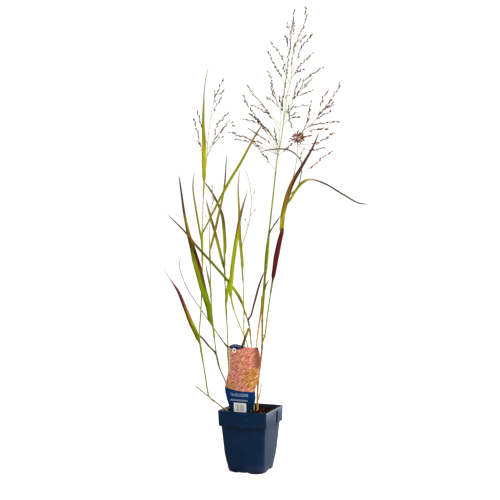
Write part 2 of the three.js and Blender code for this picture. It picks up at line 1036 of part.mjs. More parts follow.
// Each head stands on the tip of its culm. A branch starts at the nearest axis that is already there.
const HEADS = {
  a: {
    culm: "a",
    seed: 3,
    rachis: [
      [-95, 12, 675],
      [-94, 14, 702],
      [-87, 20, 762],
      [-77, 25, 807],
      [-59, 30, 849],
    ],
    branches: [
      [[-89, 22, 755], [-81, 31, 776], [-65, 48, 810]],
      [[-75, 26, 811], [-66, 15, 812], [-58, 4, 819]],
      [[-94, 16, 691], [-83, 7, 699], [-74, -2, 737], [-47, -20, 765]],
      [[-96, 15, 673], [-84, 31, 704], [-65, 46, 737], [-49, 62, 760]],
      [[-55, 52, 751], [-47, 61, 756], [-36, 70, 747]],
      [[-95, 15, 676], [-80, 8, 701], [-62, 2, 717]],
      [[-98, 14, 654], [-109, 25, 694], [-115, 35, 716], [-125, 46, 763]],
      [[-94, 18, 698], [-103, 22, 726], [-118, 30, 775]],
      [[-82, 24, 788], [-79, 12, 805], [-77, 2, 816]],
    ],
  },
  b: {
    culm: "b",
    seed: 5,
    rachis: [
      [-89, 18, 532],
      [-84, 21, 583],
      [-84, 22, 609],
    ],
    branches: [
      [[-89, 18, 532], [-95, 24, 541], [-100, 30, 548]],
      [[-85, 20, 569], [-81, 14, 578], [-79, 8, 586]],
    ],
  },
  e: {
    culm: "e",
    seed: 7,
    rachis: [
      [58, 22, 674],
      [64, 23, 700],
      [72, 25, 755],
      [78, 26, 801],
      [89, 28, 855],
      [90, 29, 884],
      [101, 31, 931],
      [118, 32, 970],
      [121, 34, 1007],
    ],
    branches: [
      // the second strand of the axis
      [[60, 24, 684], [62, 30, 705], [67, 37, 774], [79, 43, 864], [90, 50, 953], [97, 58, 1008]],
      // left side
      [[54.5, 21, 645], [46, 31, 656], [23, 38, 688], [10, 46, 704]],
      [[64, 31, 740], [38, 20, 773], [4, -1, 810], [-8, -12, 824]],
      [[58, 24, 681], [38, 36, 724], [-8, 58, 796], [-17, 70, 819]],
      [[64, 31, 734], [44, 25, 763], [22, 20, 777], [2, 8, 786]],
      [[63, 28, 712], [38, 42, 736], [15, 55, 754], [-18, 82, 766]],
      [[60, 25, 694], [42, 30, 728], [18, 34, 753], [-5, 44, 773]],
      [[58, 22, 680], [45, 15, 699], [8, 1, 725], [-5, -6, 733]],
      [[58, 23, 678], [37, 32, 699], [9, 42, 712], [-49, 60, 734]],
      [[56, 24, 680], [29, 26, 693], [2, 29, 706], [-35, 34, 716]],
      [[67, 38, 771], [61, 23, 782], [33, -8, 801]],
      [[68, 40, 775], [59, 55, 799], [43, 84, 840]],
      [[72, 26, 753], [69, 9, 774], [60, -26, 797]],
      [[59, 22, 681], [56, 3, 700], [50, -34, 731]],
      [[59, 24, 681], [51, 48, 715], [32, 96, 750]],
      // upper left
      [[79, 45, 867], [68, 54, 900], [44, 72, 939]],
      [[79, 30, 815], [68, 22, 844], [36, -4, 899]],
      [[70, 44, 800], [56, 61, 817], [40, 96, 878]],
      [[83, 31, 837], [73, 4, 858], [70, -22, 866]],
      // right side
      [[70, 42, 798], [77, 67, 812], [88, 92, 824]],
      [[74, 27, 771], [92, 10, 800], [97, -7, 821], [108, -24, 834]],
      [[73, 26, 760], [101, 16, 810], [119, 12, 842], [156, 2, 866]],
      [[101, 12, 809], [110, 3, 818], [127, -14, 837]],
      [[77, 29, 795], [95, 50, 810], [141, 92, 833]],
      [[72, 26, 753], [89, 39, 782], [126, 66, 796]],
      [[70, 25, 742], [80, 8, 753], [104, -26, 755]],
      [[75, 28, 778], [87, 63, 771], [104, 98, 783]],
      // top
      [[89, 32, 855], [100, 21, 888], [110, 9, 910], [133, -2, 936]],
      [[98, 34, 915], [112, 49, 937], [121, 64, 952]],
      [[84, 31, 839], [98, 49, 867], [142, 86, 918]],
      [[87, 31, 850], [99, 8, 855], [115, -16, 858]],
      [[84, 48, 903], [80, 68, 940], [77, 88, 956]],
      [[89, 52, 946], [83, 38, 960], [80, 24, 967]],
      [[88, 50, 932], [93, 65, 953], [98, 80, 985]],
      // down to the right
      [[59, 22, 678], [71, 18, 685], [89, 12, 703]],
    ],
  },
  f: {
    culm: "f",
    seed: 9,
    rachis: [
      [-12, 24, 503],
      [-6, 24, 524],
      [-1, 24, 552],
      [1, 24, 583],
      [-4, 24, 622],
      [-11, 24, 646],
    ],
    branches: [
      [[-6, 24, 524], [-10, 20, 532], [-12, 16, 542]],
      [[-1, 24, 547], [5, 19, 552], [8, 15, 560]],
      [[0, 24, 583], [5, 29, 591], [7, 33, 600]],
    ],
  },
  side: {
    culm: "side",
    seed: 11,
    rachis: [
      [96, -33, 657],
      [99, -34, 687],
      [99, -31, 702],
      [104, -28, 714],
      [119, -25, 732],
      [164, -19, 743],
      [191, -16, 746],
    ],
    branches: [
      [[92, -31, 632], [108, -26, 636], [122, -22, 644], [145, -17, 662], [173, -12, 683]],
      [[95, -33, 655], [104, -24, 668], [113, -14, 689]],
      [[112, -31, 725], [130, -36, 740], [170, -47, 790], [187, -52, 818]],
      [[141, -38, 754], [151, -29, 788], [163, -20, 811]],
      [[141, -38, 754], [162, -56, 770], [171, -74, 776]],
      [[118, -30, 732], [143, -13, 753], [177, 22, 776]],
      [[99, -34, 705], [114, -26, 710], [132, -18, 716]],
      [[106, -32, 715], [122, -11, 726], [170, 30, 738]],
      [[108, -31, 719], [118, -41, 739], [125, -62, 779]],
      [[99, -34, 693], [122, -24, 684], [160, 2, 692]],
      [[99, -34, 695], [121, -26, 696], [143, -18, 701], [183, -2, 724]],
      [[99, -34, 704], [91, -42, 721], [82, -50, 740], [77, -66, 771]],
      [[99, -34, 700], [89, -40, 705], [82, -46, 699]],
      [[99, -34, 702], [105, -41, 705], [112, -48, 701]],
      [[99, -34, 697], [96, -25, 705], [89, -16, 715]],
      [[99, -34, 704], [97, -43, 715], [100, -52, 723]],
    ],
  },
};

// A thin twig along a curve, with a spikelet wherever its radius swells.
function twig(curve, radius, sides, draw, bare) {
  const length = curve.getLength();
  const chord = curve.getPoint(1).sub(curve.getPoint(0)).normalize();
  const reference = square(
    Math.abs(chord.y) < 0.7 ? new THREE.Vector3(0, 1, 0) : RIGHT,
    chord,
  );
  const swellings = [];
  let s = length - SPIKELET.length / 2;
  while (s > bare * length + SPIKELET.length) {
    swellings.unshift(s);
    s -= SPIKELET.spacing * (1 + SPIKELET.spread * mix(-1, 1, draw()));
  }
  const stations = [{ s: 0, swell: 0 }];
  for (const swelling of swellings) {
    const half = SPIKELET.length / 2;
    const from = stations.at(-1).s;
    const plain = Math.floor((swelling - half - from) / TWIG_STEP);
    for (let k = 1; k <= plain; k++)
      stations.push({
        s: mix(from, swelling - half, k / (plain + 1)),
        swell: 0,
      });
    stations.push({ s: swelling - half, swell: 0 });
    stations.push({ s: swelling, swell: 1 });
    stations.push({ s: swelling + half, swell: 0 });
  }
  const rings = stations.map(({ s: at, swell }) => {
    const t = Math.min(at / length, 1);
    const tangent = curve.getTangentAt(t);
    const lean = swell * SPIKELET.lean * mix(-1, 1, draw());
    const middle = curve.getPointAt(t);
    middle.addScaledVector(square(reference, tangent), lean);
    const slim = mix(radius, TWIG_RADIUS, Math.sqrt(t));
    return sectionRing(
      { middle, tangent, radius: swell ? SPIKELET.radius : slim },
      sides,
      reference,
    );
  });
  return loft(rings);
}

function nearest(lines, point) {
  let best = null;
  for (const line of lines)
    for (const candidate of line)
      if (
        !best ||
        candidate.distanceTo(point) < best.distanceTo(point)
      )
        best = candidate;
  return best.clone();
}

function seedHead({ culm, seed, rachis, branches }) {
  const draw = randomFrom(seed);
  const tip = axes[culm].at(-1);
  const foot = tip.middle.clone().addScaledVector(tip.tangent, GAP);
  const axis = curveThrough([foot, ...rachis]);
  const lines = [axis.getSpacedPoints(120)];
  const twigs = [twig(axis, tip.radius, 4, draw, SPIKELET.axisBare)];
  for (const path of branches) {
    const start = nearest(lines, vector(path[0]));
    const curve = curveThrough([start, ...path.slice(1)]);
    lines.push(curve.getSpacedPoints(40));
    twigs.push(twig(curve, BRANCH_RADIUS, 3, draw, SPIKELET.bare));
  }
  return joined(twigs);
}

for (const [name, head] of Object.entries(HEADS))
  place(plant, "seed_head_" + name, seedHead(head), 0x5b3a3c, 0.7);

// ---------------------------------------------------------------- label

// A tapered stake card that stands across the front of the pot.
const LABEL = {
  y: -46,
  thickness: 0.8,
  bulge: 5, // the middle of the card stands forward of its edges
  curl: 4, // the right edge turns back
  reach: 36, // from the middle to where the bulge ends
  freeAbove: 190, // below this the soil holds the card flatter
};
// Left and right edge of the card, from the tip up: height, left, right.
const LABEL_EDGES = [
  [98, -4, 2],
  [110, -14, 7],
  [124, -22, 12],
  [143, -32, 23],
  [160, -38, 28],
  [178, -42, 27.5],
  [205, -36, 34.5],
  [230, -33, 36.6],
  [252, -33, 36.4],
  [267, -33, 33],
];
const SLOT_LEVELS = 5; // of the card's levels, from its tip, that the slot in the soil covers
// How far the top edge lies over the highest level, at each column from the left.
const LABEL_TOP = [0, 5.5, 6.5, 5, 3, 1.5, 0.5, 0.5, 0];

function labelGrid(thickness, margin, top) {
  const columns = LABEL_TOP.length;
  const faces = [-1, 1].map((face) =>
    LABEL_EDGES.slice(0, top).map(([z, left, right], i) =>
      Array.from({ length: columns }, (_, j) => {
        const x = mix(left - margin, right + margin, j / (columns - 1));
        const off = x / LABEL.reach;
        const free = THREE.MathUtils.smoothstep(z, SOIL_TOP, LABEL.freeAbove);
        const forward = free * LABEL.bulge * (1 - off * off);
        const away = free * LABEL.curl * Math.max(0, off) ** 3;
        const rise = i === LABEL_EDGES.length - 1 ? LABEL_TOP[j] : 0;
        const low = i === 0 ? -margin : 0;
        return new THREE.Vector3(
          x,
          LABEL.y - forward + away + (face * thickness) / 2,
          z + rise + low,
        );
      }),
    ),
  );
  return sheet(faces[0], faces[1]);
}

place(
  root,
  "plant_label",
  labelGrid(LABEL.thickness, 0, LABEL_EDGES.length),
  0xd9a08a,
  0.4,
);

// ---------------------------------------------------------------- soil

// Uneven at the top, with a plain hole round each stem and a slot for the label.
function makeSoil() {
  const draw = randomFrom(21);
  const body = cavityRings(GAP, POT_HEIGHT);
  const rim = body.pop();
  const step = SHOULDER_Z + INNER_SHOULDER_RISE;
  const share = (SOIL_TOP - step) / (POT_HEIGHT - step);
  const shoulder = body.at(-1);
  const edge = rim.map((p, j) => shoulder[j].clone().lerp(p, share));
  const rings = [...body, edge];
  for (const inward of SOIL_RINGS)
    rings.push(
      edge.map((p) => {
        const lift = mix(-SOIL_UNEVEN, SOIL_UNEVEN, draw());
        return new THREE.Vector3(p.x * inward, p.y * inward, SOIL_TOP + lift);
      }),
    );
  let soil = solidOf(loft(rings));
  for (const axis of Object.values(axes)) {
    if (axis[0].middle.z > SOIL_TOP) continue;
    const sections = axis.slice(0, 4).map((section) => ({
      ...section,
      radius: section.radius + HOLE_CLEARANCE,
    }));
    sections[0].middle = sections[0].middle
      .clone()
      .addScaledVector(sections[0].tangent, -GAP);
    const hole = rod(sections);
    soil = soil.subtract(solidOf(hole.rotateZ(plant.rotation.z)));
  }
  const slot = labelGrid(LABEL.thickness + 3 * GAP, 2 * GAP, SLOT_LEVELS);
  soil = soil.subtract(solidOf(slot));
  return soil.subtract(solidOf(block(...housingCorners(GAP, POT_HEIGHT))));
}

place(root, "soil", geometryOf(makeSoil()), 0x3a2c22, 0.95);

export default root;
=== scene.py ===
"""Switchgrass in a square nursery pot: reed-like culms with strap leaves and open, airy seed
heads, growing in potting soil behind a printed stake label. Lengths are in millimetres until
a piece is made, and the plant group's x runs across the clump, y from its front to its back."""

import math

import bpy
import numpy as np
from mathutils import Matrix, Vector


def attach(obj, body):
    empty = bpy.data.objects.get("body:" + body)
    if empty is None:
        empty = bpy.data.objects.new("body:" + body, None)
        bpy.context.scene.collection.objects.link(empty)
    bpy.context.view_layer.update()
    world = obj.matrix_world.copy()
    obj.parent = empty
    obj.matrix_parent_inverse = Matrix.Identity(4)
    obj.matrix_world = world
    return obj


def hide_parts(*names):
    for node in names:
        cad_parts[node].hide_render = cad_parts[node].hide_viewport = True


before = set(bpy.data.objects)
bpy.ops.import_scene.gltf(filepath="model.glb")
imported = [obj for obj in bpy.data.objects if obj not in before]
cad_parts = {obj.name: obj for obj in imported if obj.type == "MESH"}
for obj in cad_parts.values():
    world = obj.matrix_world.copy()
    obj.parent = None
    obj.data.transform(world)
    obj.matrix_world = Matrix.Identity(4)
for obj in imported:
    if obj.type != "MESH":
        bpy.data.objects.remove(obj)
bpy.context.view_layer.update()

# ---------------------------------------------------------------- studio
# A white paper floor in a soft white room that is brighter behind the plant than in front of
# it. One wide soft box lights the plant from the right, another from the front and above.
CAMERA_AT = (0.6444, -1.670, 0.4715)
CAMERA_YAW = math.atan2(CAMERA_AT[0], -CAMERA_AT[1])
LENS, SENSOR, LENS_SHIFT = 59.83, 36, -0.0018
AIM_HEIGHT = 0.4
# The room's strength in front of the plant, behind it and where the camera sees it.
ROOM_FRONT, ROOM_BACK, ROOM_SEEN, ROOM_BLEND = 0.08, 1.05, 1.1, 0.6
# The paper runs past the camera's view on every side.
PAPER_HALF = 20000


def sign(operation, swapped=False):
    """The method behind one arithmetic sign or word: it adds the Math node of an operation."""

    def method(self, *others):
        inputs = (*others, self) if swapped else (self, *others)
        return self.shader.node("ShaderNodeMath", {"operation": operation}, dict(enumerate(inputs)))

    return method


class Wire:
    """An output socket that works in arithmetic: an expression adds its nodes."""

    def __init__(self, shader, socket):
        self.shader, self.socket = shader, socket

    __add__, __radd__ = sign("ADD"), sign("ADD", True)
    __sub__, __rsub__ = sign("SUBTRACT"), sign("SUBTRACT", True)
    __mul__, __rmul__ = sign("MULTIPLY"), sign("MULTIPLY", True)
    power, larger = sign("POWER"), sign("MAXIMUM")
    sine, size = sign("SINE"), sign("ABSOLUTE")

    def squared(self):
        return self * self

    def ramp(self, low, high):
        """0 up to low, 1 from high on and a smooth step between; high may be the lower one."""
        swap = low > high
        inputs = {0: self, 1: min(low, high), 2: max(low, high), 3: float(swap), 4: float(not swap)}
        return self.shader.node("ShaderNodeMapRange", {"interpolation_type": "SMOOTHSTEP"}, inputs)

    def beside(self, middle, none, full):
        """1 up to the distance full from the middle, and 0 from the distance none on."""
        return (self - middle).size().ramp(none, full)


class Shader:
    """The nodes of one finish, or of the room's light."""

    def __init__(self, tree):
        self.tree = tree
        tree.nodes.clear()

    def node(self, kind, settings=None, inputs=None, output=0):
        """Adds a node of a type: its settings first, then the values or links of its sockets."""
        made = self.tree.nodes.new(kind)
        for key, value in (settings or {}).items():
            setattr(made, key, value)
        for key, value in (inputs or {}).items():
            if isinstance(value, Wire):
                self.tree.links.new(value.socket, made.inputs[key])
            else:
                made.inputs[key].default_value = value
        return Wire(self, made.outputs[output]) if made.outputs else None

    def parts(self, vector):
        """The three numbers of a vector."""
        return [self.node("ShaderNodeSeparateXYZ", None, {0: vector}, k) for k in range(3)]

    def place(self):
        """Where a point of the piece is, in metres."""
        return self.node("ShaderNodeTexCoord", output="Object")

    def own_tint(self):
        """The piece's own colour at a point."""
        return self.node("ShaderNodeAttribute", {"attribute_name": "tint"})

    def seen(self):
        """1 for the camera's own rays and 0 for those that light the scene."""
        return self.node("ShaderNodeLightPath", output="Is Camera Ray")

    def noise(self, vector, scale, detail):
        """Soft random lumps between 0 and 1."""
        inputs = {"Vector": vector, "Scale": scale, "Detail": detail}
        return self.node("ShaderNodeTexNoise", None, inputs)

    def drawn_noise(self, vector, level, upright, detail):
        """Noise with one scale for the level directions and another for the upright one."""
        scale = {"Vector": vector, "Scale": (level, level, upright)}
        return self.noise(self.node("ShaderNodeMapping", None, scale), 1, detail)

    def flat_noise(self, first, second, detail, layer=0.0):
        """Noise over two numbers; its layers differ from each other."""
        spot = self.node("ShaderNodeCombineXYZ", None, {0: first, 1: second, 2: layer})
        return self.noise(spot, 1, detail)

    def layered(self, base, *layers):
        """A colour under others. Each layer says how much of it shows and gives its colour, as
        a socket or in 0 to 255 steps."""
        for share, dye in layers:
            low, high = (c if isinstance(c, Wire) else paint(c) for c in (base, dye))
            base = self.node("ShaderNodeMix", {"data_type": "RGBA"}, {0: share, 6: low, 7: high}, 2)
        return base

    def bumps(self, strength, depth, height):
        """The surface's direction on bumps of a depth in metres."""
        inputs = {"Strength": strength, "Distance": depth, "Height": height}
        return self.node("ShaderNodeBump", None, inputs)

    def surface(self, colour, roughness, shine, **more):
        """Ends a finish in the plain physical surface."""
        inputs = {"Base Color": colour, "Roughness": roughness, "Specular IOR Level": shine, **more}
        body = self.node("ShaderNodeBsdfPrincipled", None, inputs)
        self.node("ShaderNodeOutputMaterial", None, {"Surface": body})


def soft_box(name, right, back, up, wide, high, watts):
    """An area light at a place in the camera's own directions, which faces the plant's middle."""
    light = bpy.data.lights.new(name, "AREA")
    light.shape, light.size, light.size_y, light.energy = "RECTANGLE", wide, high, watts
    lamp = bpy.data.objects.new(name, light)
    turn, lean = math.cos(CAMERA_YAW), math.sin(CAMERA_YAW)
    lamp.location = (right * turn - back * lean, right * lean + back * turn, up)
    aim = Vector((0, 0, AIM_HEIGHT)) - lamp.location
    lamp.rotation_euler = aim.to_track_quat("-Z", "Y").to_euler()
    lamp.visible_camera = False
    bpy.context.collection.objects.link(lamp)


def linear(colours):
    """Rows of 0 to 255 colours as rows of linear light with a fourth number of 1."""
    share = np.asarray(colours, float) / 255
    light = np.where(share < 0.04045, share / 12.92, ((share + 0.055) / 1.055) ** 2.4)
    return np.concatenate([light, np.ones((*light.shape[:-1], 1))], -1)


def paint(colour):
    """One colour given in 0 to 255 steps, as the linear light that the nodes work in."""
    return linear(colour).tolist()


def finish_of(name):
    """A new material with an empty tree of nodes."""
    material = bpy.data.materials.new(name)
    material.use_nodes = True
    return material, Shader(material.node_tree)


def grid_faces(rows, columns, wrap):
    """Quads between a grid's neighbouring points; wrap joins the last column to the first."""
    i, j = np.meshgrid(np.arange(rows - 1), np.arange(columns - (not wrap)), indexing="ij")
    k = (j + 1) % columns
    corners = (i * columns + j, i * columns + k, (i + 1) * columns + k, (i + 1) * columns + j)
    return np.stack(corners, -1).reshape(-1, 4)


def mesh_object(name, points, faces, finish):
    """A smooth mesh from points in millimetres and faces, with one finish."""
    mesh = bpy.data.meshes.new(name)
    mesh.from_pydata((np.asarray(points) / 1000).tolist(), [], [list(f) for f in faces])
    mesh.materials.append(finish)
    mesh.shade_smooth()
    made = bpy.data.objects.new(name, mesh)
    bpy.context.collection.objects.link(made)
    return made


lens = bpy.data.cameras.new("camera")
lens.lens, lens.sensor_width, lens.shift_x = LENS, SENSOR, LENS_SHIFT
camera = bpy.data.objects.new("camera", lens)
camera.location = CAMERA_AT
camera.rotation_euler = (math.pi / 2, 0, CAMERA_YAW)
bpy.context.collection.objects.link(camera)
bpy.context.scene.camera = camera
bpy.context.scene.view_settings.view_transform = "Standard"

soft_box("side_box", 1.9, 1.3, 0.9, 1.6, 2.0, 115)
soft_box("front_box", 0.9, -1.7, 1.9, 1.4, 1.4, 92)

room = bpy.data.worlds.new("white_room")
room.use_nodes = True
bpy.context.scene.world = room
air = Shader(room.node_tree)
east, north, _ = air.parts(air.node("ShaderNodeTexCoord", output="Generated"))
behind = north * math.cos(CAMERA_YAW) - east * math.sin(CAMERA_YAW)
strength = ROOM_FRONT + behind.ramp(-ROOM_BLEND, ROOM_BLEND) * (ROOM_BACK - ROOM_FRONT)
light = {"Color": (1, 1, 1, 1), "Strength": strength.larger(air.seen() * ROOM_SEEN)}
shine = air.node("ShaderNodeBackground", None, light)
air.node("ShaderNodeOutputWorld", None, {"Surface": shine})

paper, shade = finish_of("paper")
glow = {"Emission Color": (1, 1, 1, 1), "Emission Strength": shade.seen() * 1.0}
shade.surface(paint((150, 150, 150)), 0.9, 0.1, **glow)
corners = PAPER_HALF * np.array([[-1, -1, 0], [1, -1, 0], [-1, 1, 0], [1, 1, 0]])
floor = mesh_object("paper_floor", corners, grid_faces(2, 2, False), paper)

# ---------------------------------------------------------------- pot
# The square nursery pot: thin navy polypropylene, moulded in one piece, with a tapered body, a
# stepped collar, a plain round boss on the front and a pocket for a label on the right side.
# Its foot has an arch and a drain under each side.
RIM_HALF, WALL, FLOOR = 55, 1.6, 6
SHOULDER_Z, COLLAR_HALF = 97.5, 53.9
CORNER_STEPS = 10
# Outside of the body and collar from the foot up: height, half width, corner radius.
POT_OUTSIDE = np.array([
    [0, 39.6, 22.4], [0.3, 40.3, 22.1], [1, 40.9, 21.6], [3, 41.6, 20.5], [7, 42.1, 19], [12, 42.5, 18],
    [24, 44.1, 13.6], [40, 45.7, 10], [70, 47.9, 8], [95, 49.6, 6], [97.2, 49.85, 6], [98, 50.4, 5.8],
    [98.9, 52.9, 4.6], [99.3, 53.6, 4.2], [100.2, 53.9, 4], [115, 54.4, 4], [131.2, 54.98, 4],
    [131.8, 54.75, 3.8], [132, 54.3, 3.5],
])
# Inside, from the rim down.
POT_INSIDE = np.array([
    [132, 53.5, 3.2], [131.8, 53.0, 3.2], [131.2, 52.8, 3.2], [116, 52.5, 3.5], [102.5, 52.3, 4],
    [101, 52, 4.2], [97, 48.5, 5.2], [96.5, 48.1, 5.2], [70, 46.3, 7.2], [40, 44.1, 9.2],
    [12, 40.9, 17.2], [7, 40.3, 17.6], [6, 39, 17],
])
ARCH_WIDTH, ARCH_HEIGHT, ARCH_DEPTH, ARCH_STEPS = 34, 3.5, 6, 17
DRAIN_MIDDLE, DRAIN_WIDTH, DRAIN_HEIGHT, DRAIN_DEPTH, DRAIN_HOLE = 5, 5, 4.5, 9, 5
# The boss from its root inside the wall to its face: distance from the pot's middle, radius.
BOSS_Z, BOSS_SIDES, BOSS_RINGS = 109, 64, ((48.4, 13), (54.5, 13), (54.7, 12.8), (54.8, 12.4))
POCKET_FROM, POCKET_TO, POCKET_LOW, POCKET_HIGH, POCKET_DEPTH = 10, 20, 100, 125, 3.5
OVERCUT, TRIM_WIDER, TRIM_TALLER = 3, 0.5, 8
EDGE_WIDTH, EDGE_ANGLE = 0.0004, 50


def rounded_squares(levels, steps):
    """One ring for each row of (height, half width, corner radius): four quarter circles whose
    centres stand in from the corners by the radius, joined by straight sides."""
    z, half, radius = (levels[:, k, None, None] for k in range(3))
    corner = (np.arange(4) * math.pi / 2)[:, None]
    angle = corner + np.linspace(0, math.pi / 2, steps + 1)
    inset = (half - radius) * math.sqrt(2)
    x = inset * np.cos(corner + math.pi / 4) + radius * np.cos(angle)
    y = inset * np.sin(corner + math.pi / 4) + radius * np.sin(angle)
    rings = np.stack([x, y, np.broadcast_to(z, x.shape)], -1)
    return rings.reshape(len(levels), -1, 3)


def loft(rings):
    """Rings of an even number of points carried into one closed surface: quads between
    neighbouring rings, and strips of quads over the first and the last."""
    rows, columns = rings.shape[:2]
    j = np.arange(columns // 2 - 1)
    strip = np.stack([j, j + 1, columns - 2 - j, columns - 1 - j], -1)
    ends = [strip[:, ::-1], strip + (rows - 1) * columns]
    return rings.reshape(-1, 3), np.vstack([grid_faces(rows, columns, True), *ends])


def block(low, high):
    """A box between two corners, as a loft of two rings of four points."""
    (x0, y0, z0), (x1, y1, z1) = low, high
    ring = np.array([[x0, y0], [x1, y0], [x1, y1], [x0, y1]])
    return loft(np.stack([np.column_stack([ring, np.full(4, z)]) for z in (z0, z1)]))


def turned(points, degrees):
    """Points turned about the upright axis."""
    a = math.radians(degrees)
    turn = np.array([[math.cos(a), math.sin(a), 0], [-math.sin(a), math.cos(a), 0], [0, 0, 1]])
    return np.asarray(points) @ turn


def cut_or_join(piece, operation, tool):
    """Takes a solid out of a piece, or joins it on, and keeps the result as the piece's mesh."""
    step = piece.modifiers.new("step", "BOOLEAN")
    step.operation, step.object, step.solver = operation, tool, "EXACT"
    result = bpy.data.meshes.new_from_object(piece.evaluated_get(bpy.context.evaluated_depsgraph_get()))
    piece.modifiers.clear()
    piece.data = result
    bpy.data.objects.remove(tool)


# Scuffs run level round the pot and dust lies on its foot. The inside wall above the soil is painted
# dark: painted shade inside the pot.
plastic, shade = finish_of("navy_polypropylene")
place = shade.place()
fine, broad = shade.noise(place, 900, 3), shade.noise(place, 28, 4)
scuffs = shade.drawn_noise(place, 90, 700, 5).ramp(0.6, 0.78)
east, north, height = (part * 1000 for part in shade.parts(place))
east, north = east.size(), north.size()
# Painted shade: the inside wall over the soil is darkened where shade falls in the pot.
inside_shade = east.larger(north).ramp(53.7, 53.5) * (east + north).ramp(105, 104)
inside_shade = inside_shade * height.ramp(100.5, 101.5)
dust = (1 - height.ramp(0, 26)) * broad.ramp(0.42, 0.7)
colour = shade.layered(
    (0, 30, 58),
    (broad.ramp(0.35, 0.7), (2, 36, 69)),
    (scuffs * 0.14, (70, 88, 122)),
    (dust * 0.3, (86, 82, 84)),
    (inside_shade * 0.75, (30, 26, 28)),
)
grain = shade.bumps(0.12, 0.0004, fine + scuffs * 0.5)
shade.surface(colour, 0.36 + scuffs * 0.2 + broad * 0.12, 0.18, Normal=grain)

walls = rounded_squares(np.vstack([POT_OUTSIDE, POT_INSIDE]), CORNER_STEPS)
pot = mesh_object("nursery_pot", *loft(walls), plastic)
foot = POT_OUTSIDE[3, 1]
bow = np.linspace(-1, 1, ARCH_STEPS)
arch = np.column_stack([bow * ARCH_WIDTH / 2, ARCH_HEIGHT * (1 - bow**2)])[::-1]
low_corners = [[-ARCH_WIDTH / 2, -OVERCUT], [0, -OVERCUT]]
arch = np.vstack([[[ARCH_WIDTH / 2, -OVERCUT]], arch, low_corners])
vault = loft(np.stack([np.insert(arch, 1, y, axis=1) for y in (ARCH_DEPTH - foot, -foot - OVERCUT)]))
left, right = DRAIN_MIDDLE - DRAIN_WIDTH / 2, DRAIN_MIDDLE + DRAIN_WIDTH / 2
back = DRAIN_DEPTH - foot
notch = block((left, -foot - OVERCUT, -OVERCUT), (right, back, DRAIN_HEIGHT))
hole = block((left, back, -OVERCUT), (right, back + DRAIN_HOLE, FLOOR + OVERCUT))
for side in range(4):
    for points, faces in (vault, notch, hole):
        tool = mesh_object("tool", turned(points, 90 * side), faces, plastic)
        cut_or_join(pot, "DIFFERENCE", tool)

# The boss stands on the collar, and its lower edge hangs over the tapered body. What it has
# inside the pot is trimmed off.
around = np.linspace(0, 2 * math.pi, BOSS_SIDES, endpoint=False)
boss_rings = [
    np.column_stack([r * np.cos(around), np.full(BOSS_SIDES, -y), BOSS_Z + r * np.sin(around)])
    for y, r in BOSS_RINGS
]
boss = mesh_object("boss", *loft(np.stack(boss_rings)), plastic)
hollow = POT_INSIDE[::-1] + [0, TRIM_WIDER, 0]
hollow[-1, 0] += TRIM_TALLER
cavity = mesh_object("cavity", *loft(rounded_squares(hollow, CORNER_STEPS)), plastic)
cut_or_join(boss, "DIFFERENCE", cavity)
cut_or_join(pot, "UNION", boss)
# The pocket is sunk into the collar, in a housing that stands inside the pot's wall.
pocket_back = COLLAR_HALF - POCKET_DEPTH
housing_low = (pocket_back - WALL, POCKET_FROM - WALL, SHOULDER_Z)
housing = block(housing_low, (COLLAR_HALF, POCKET_TO + WALL, POCKET_HIGH + WALL))
cut_or_join(pot, "UNION", mesh_object("housing", *housing, plastic))
pocket = block((pocket_back, POCKET_FROM, POCKET_LOW), (RIM_HALF + OVERCUT, POCKET_TO, POCKET_HIGH))
cut_or_join(pot, "DIFFERENCE", mesh_object("pocket", *pocket, plastic))
pot.data.shade_smooth()
softened = pot.modifiers.new("moulded_edges", "BEVEL")
softened.width, softened.segments, softened.limit_method = EDGE_WIDTH, 2, "ANGLE"
softened.angle_limit = math.radians(EDGE_ANGLE)
softened.harden_normals = True
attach(pot, "root")
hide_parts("pot")

# ---------------------------------------------------------------- soil
# Dark peat compost that fills the pot to just under its rim, settled unevenly, with crumbs of
# peat and bark lying on it and a few straws of last year's growth.
# The top's rings shrink to a hub, and crumbs lie within the reach.
SOIL_TOP, SOIL_STEPS, SOIL_RINGS, SOIL_HUB, SOIL_REACH = 124, 24, 30, 0.015, 50.5
RIPPLES, RIPPLE_LENGTHS, RIPPLE_RISE = 40, (7, 48), 0.0085
# The sides of the soil from the floor up: height, half width, corner radius.
SOIL_SIDES = np.array([
    [6.3, 38.6, 16.4], [7.2, 39.9, 17.2], [12, 40.6, 16.8], [40, 43.8, 8.9], [70, 46, 6.9],
    [96.5, 47.8, 4.9], [101, 51.6, 3.9], [102.5, 52, 3.7], [SOIL_TOP - 1.5, 52.3, 3.2],
])
CRUMBS, CHIPS, STRAWS = 620, 70, 12
CRUMB_LIFT, CHIP_LIFT, STRAW_LIFT = 0.4, 0.9, 1.4
# The form of a crumb as (radius, height), with its number of sides.
CRUMB_SIDES, CRUMB_FORM = 7, [(0.55, 0.16), (1, 0.5), (0.62, 0.83)]
# Mean and spread of the logarithm of a crumb's radius; then lowest and highest of what is
# drawn: a crumb's stretch each way, and a chip's half width, half length and half thickness.
CRUMB_SIZE, CRUMB_STRETCH = (0.15, 0.42), (0.6, 1.25)
CHIP_SIZES = ((1, 2), (2.2, 4.6), (0.3, 0.6))
STRAW_WIDTH, STRAW_LENGTHS, STRAW_THICKNESS = 0.55, (5, 11), 0.4
SOIL_TINT, STRAW_TINT = (17, 10, 7), (150, 112, 62)
CRUMB_TINTS = np.array([[22, 14, 9], [56, 30, 14], [11, 8, 6], [96, 64, 32], [78, 40, 18]])
CRUMB_SHARES = [0.42, 0.24, 0.2, 0.05, 0.09]
BARK_KINDS = [1, 3, 4]
chance = np.random.default_rng(21)
ripple_length = chance.uniform(*RIPPLE_LENGTHS, RIPPLES)
ripple_angle, ripple_start = chance.uniform(0, 2 * math.pi, (2, RIPPLES))


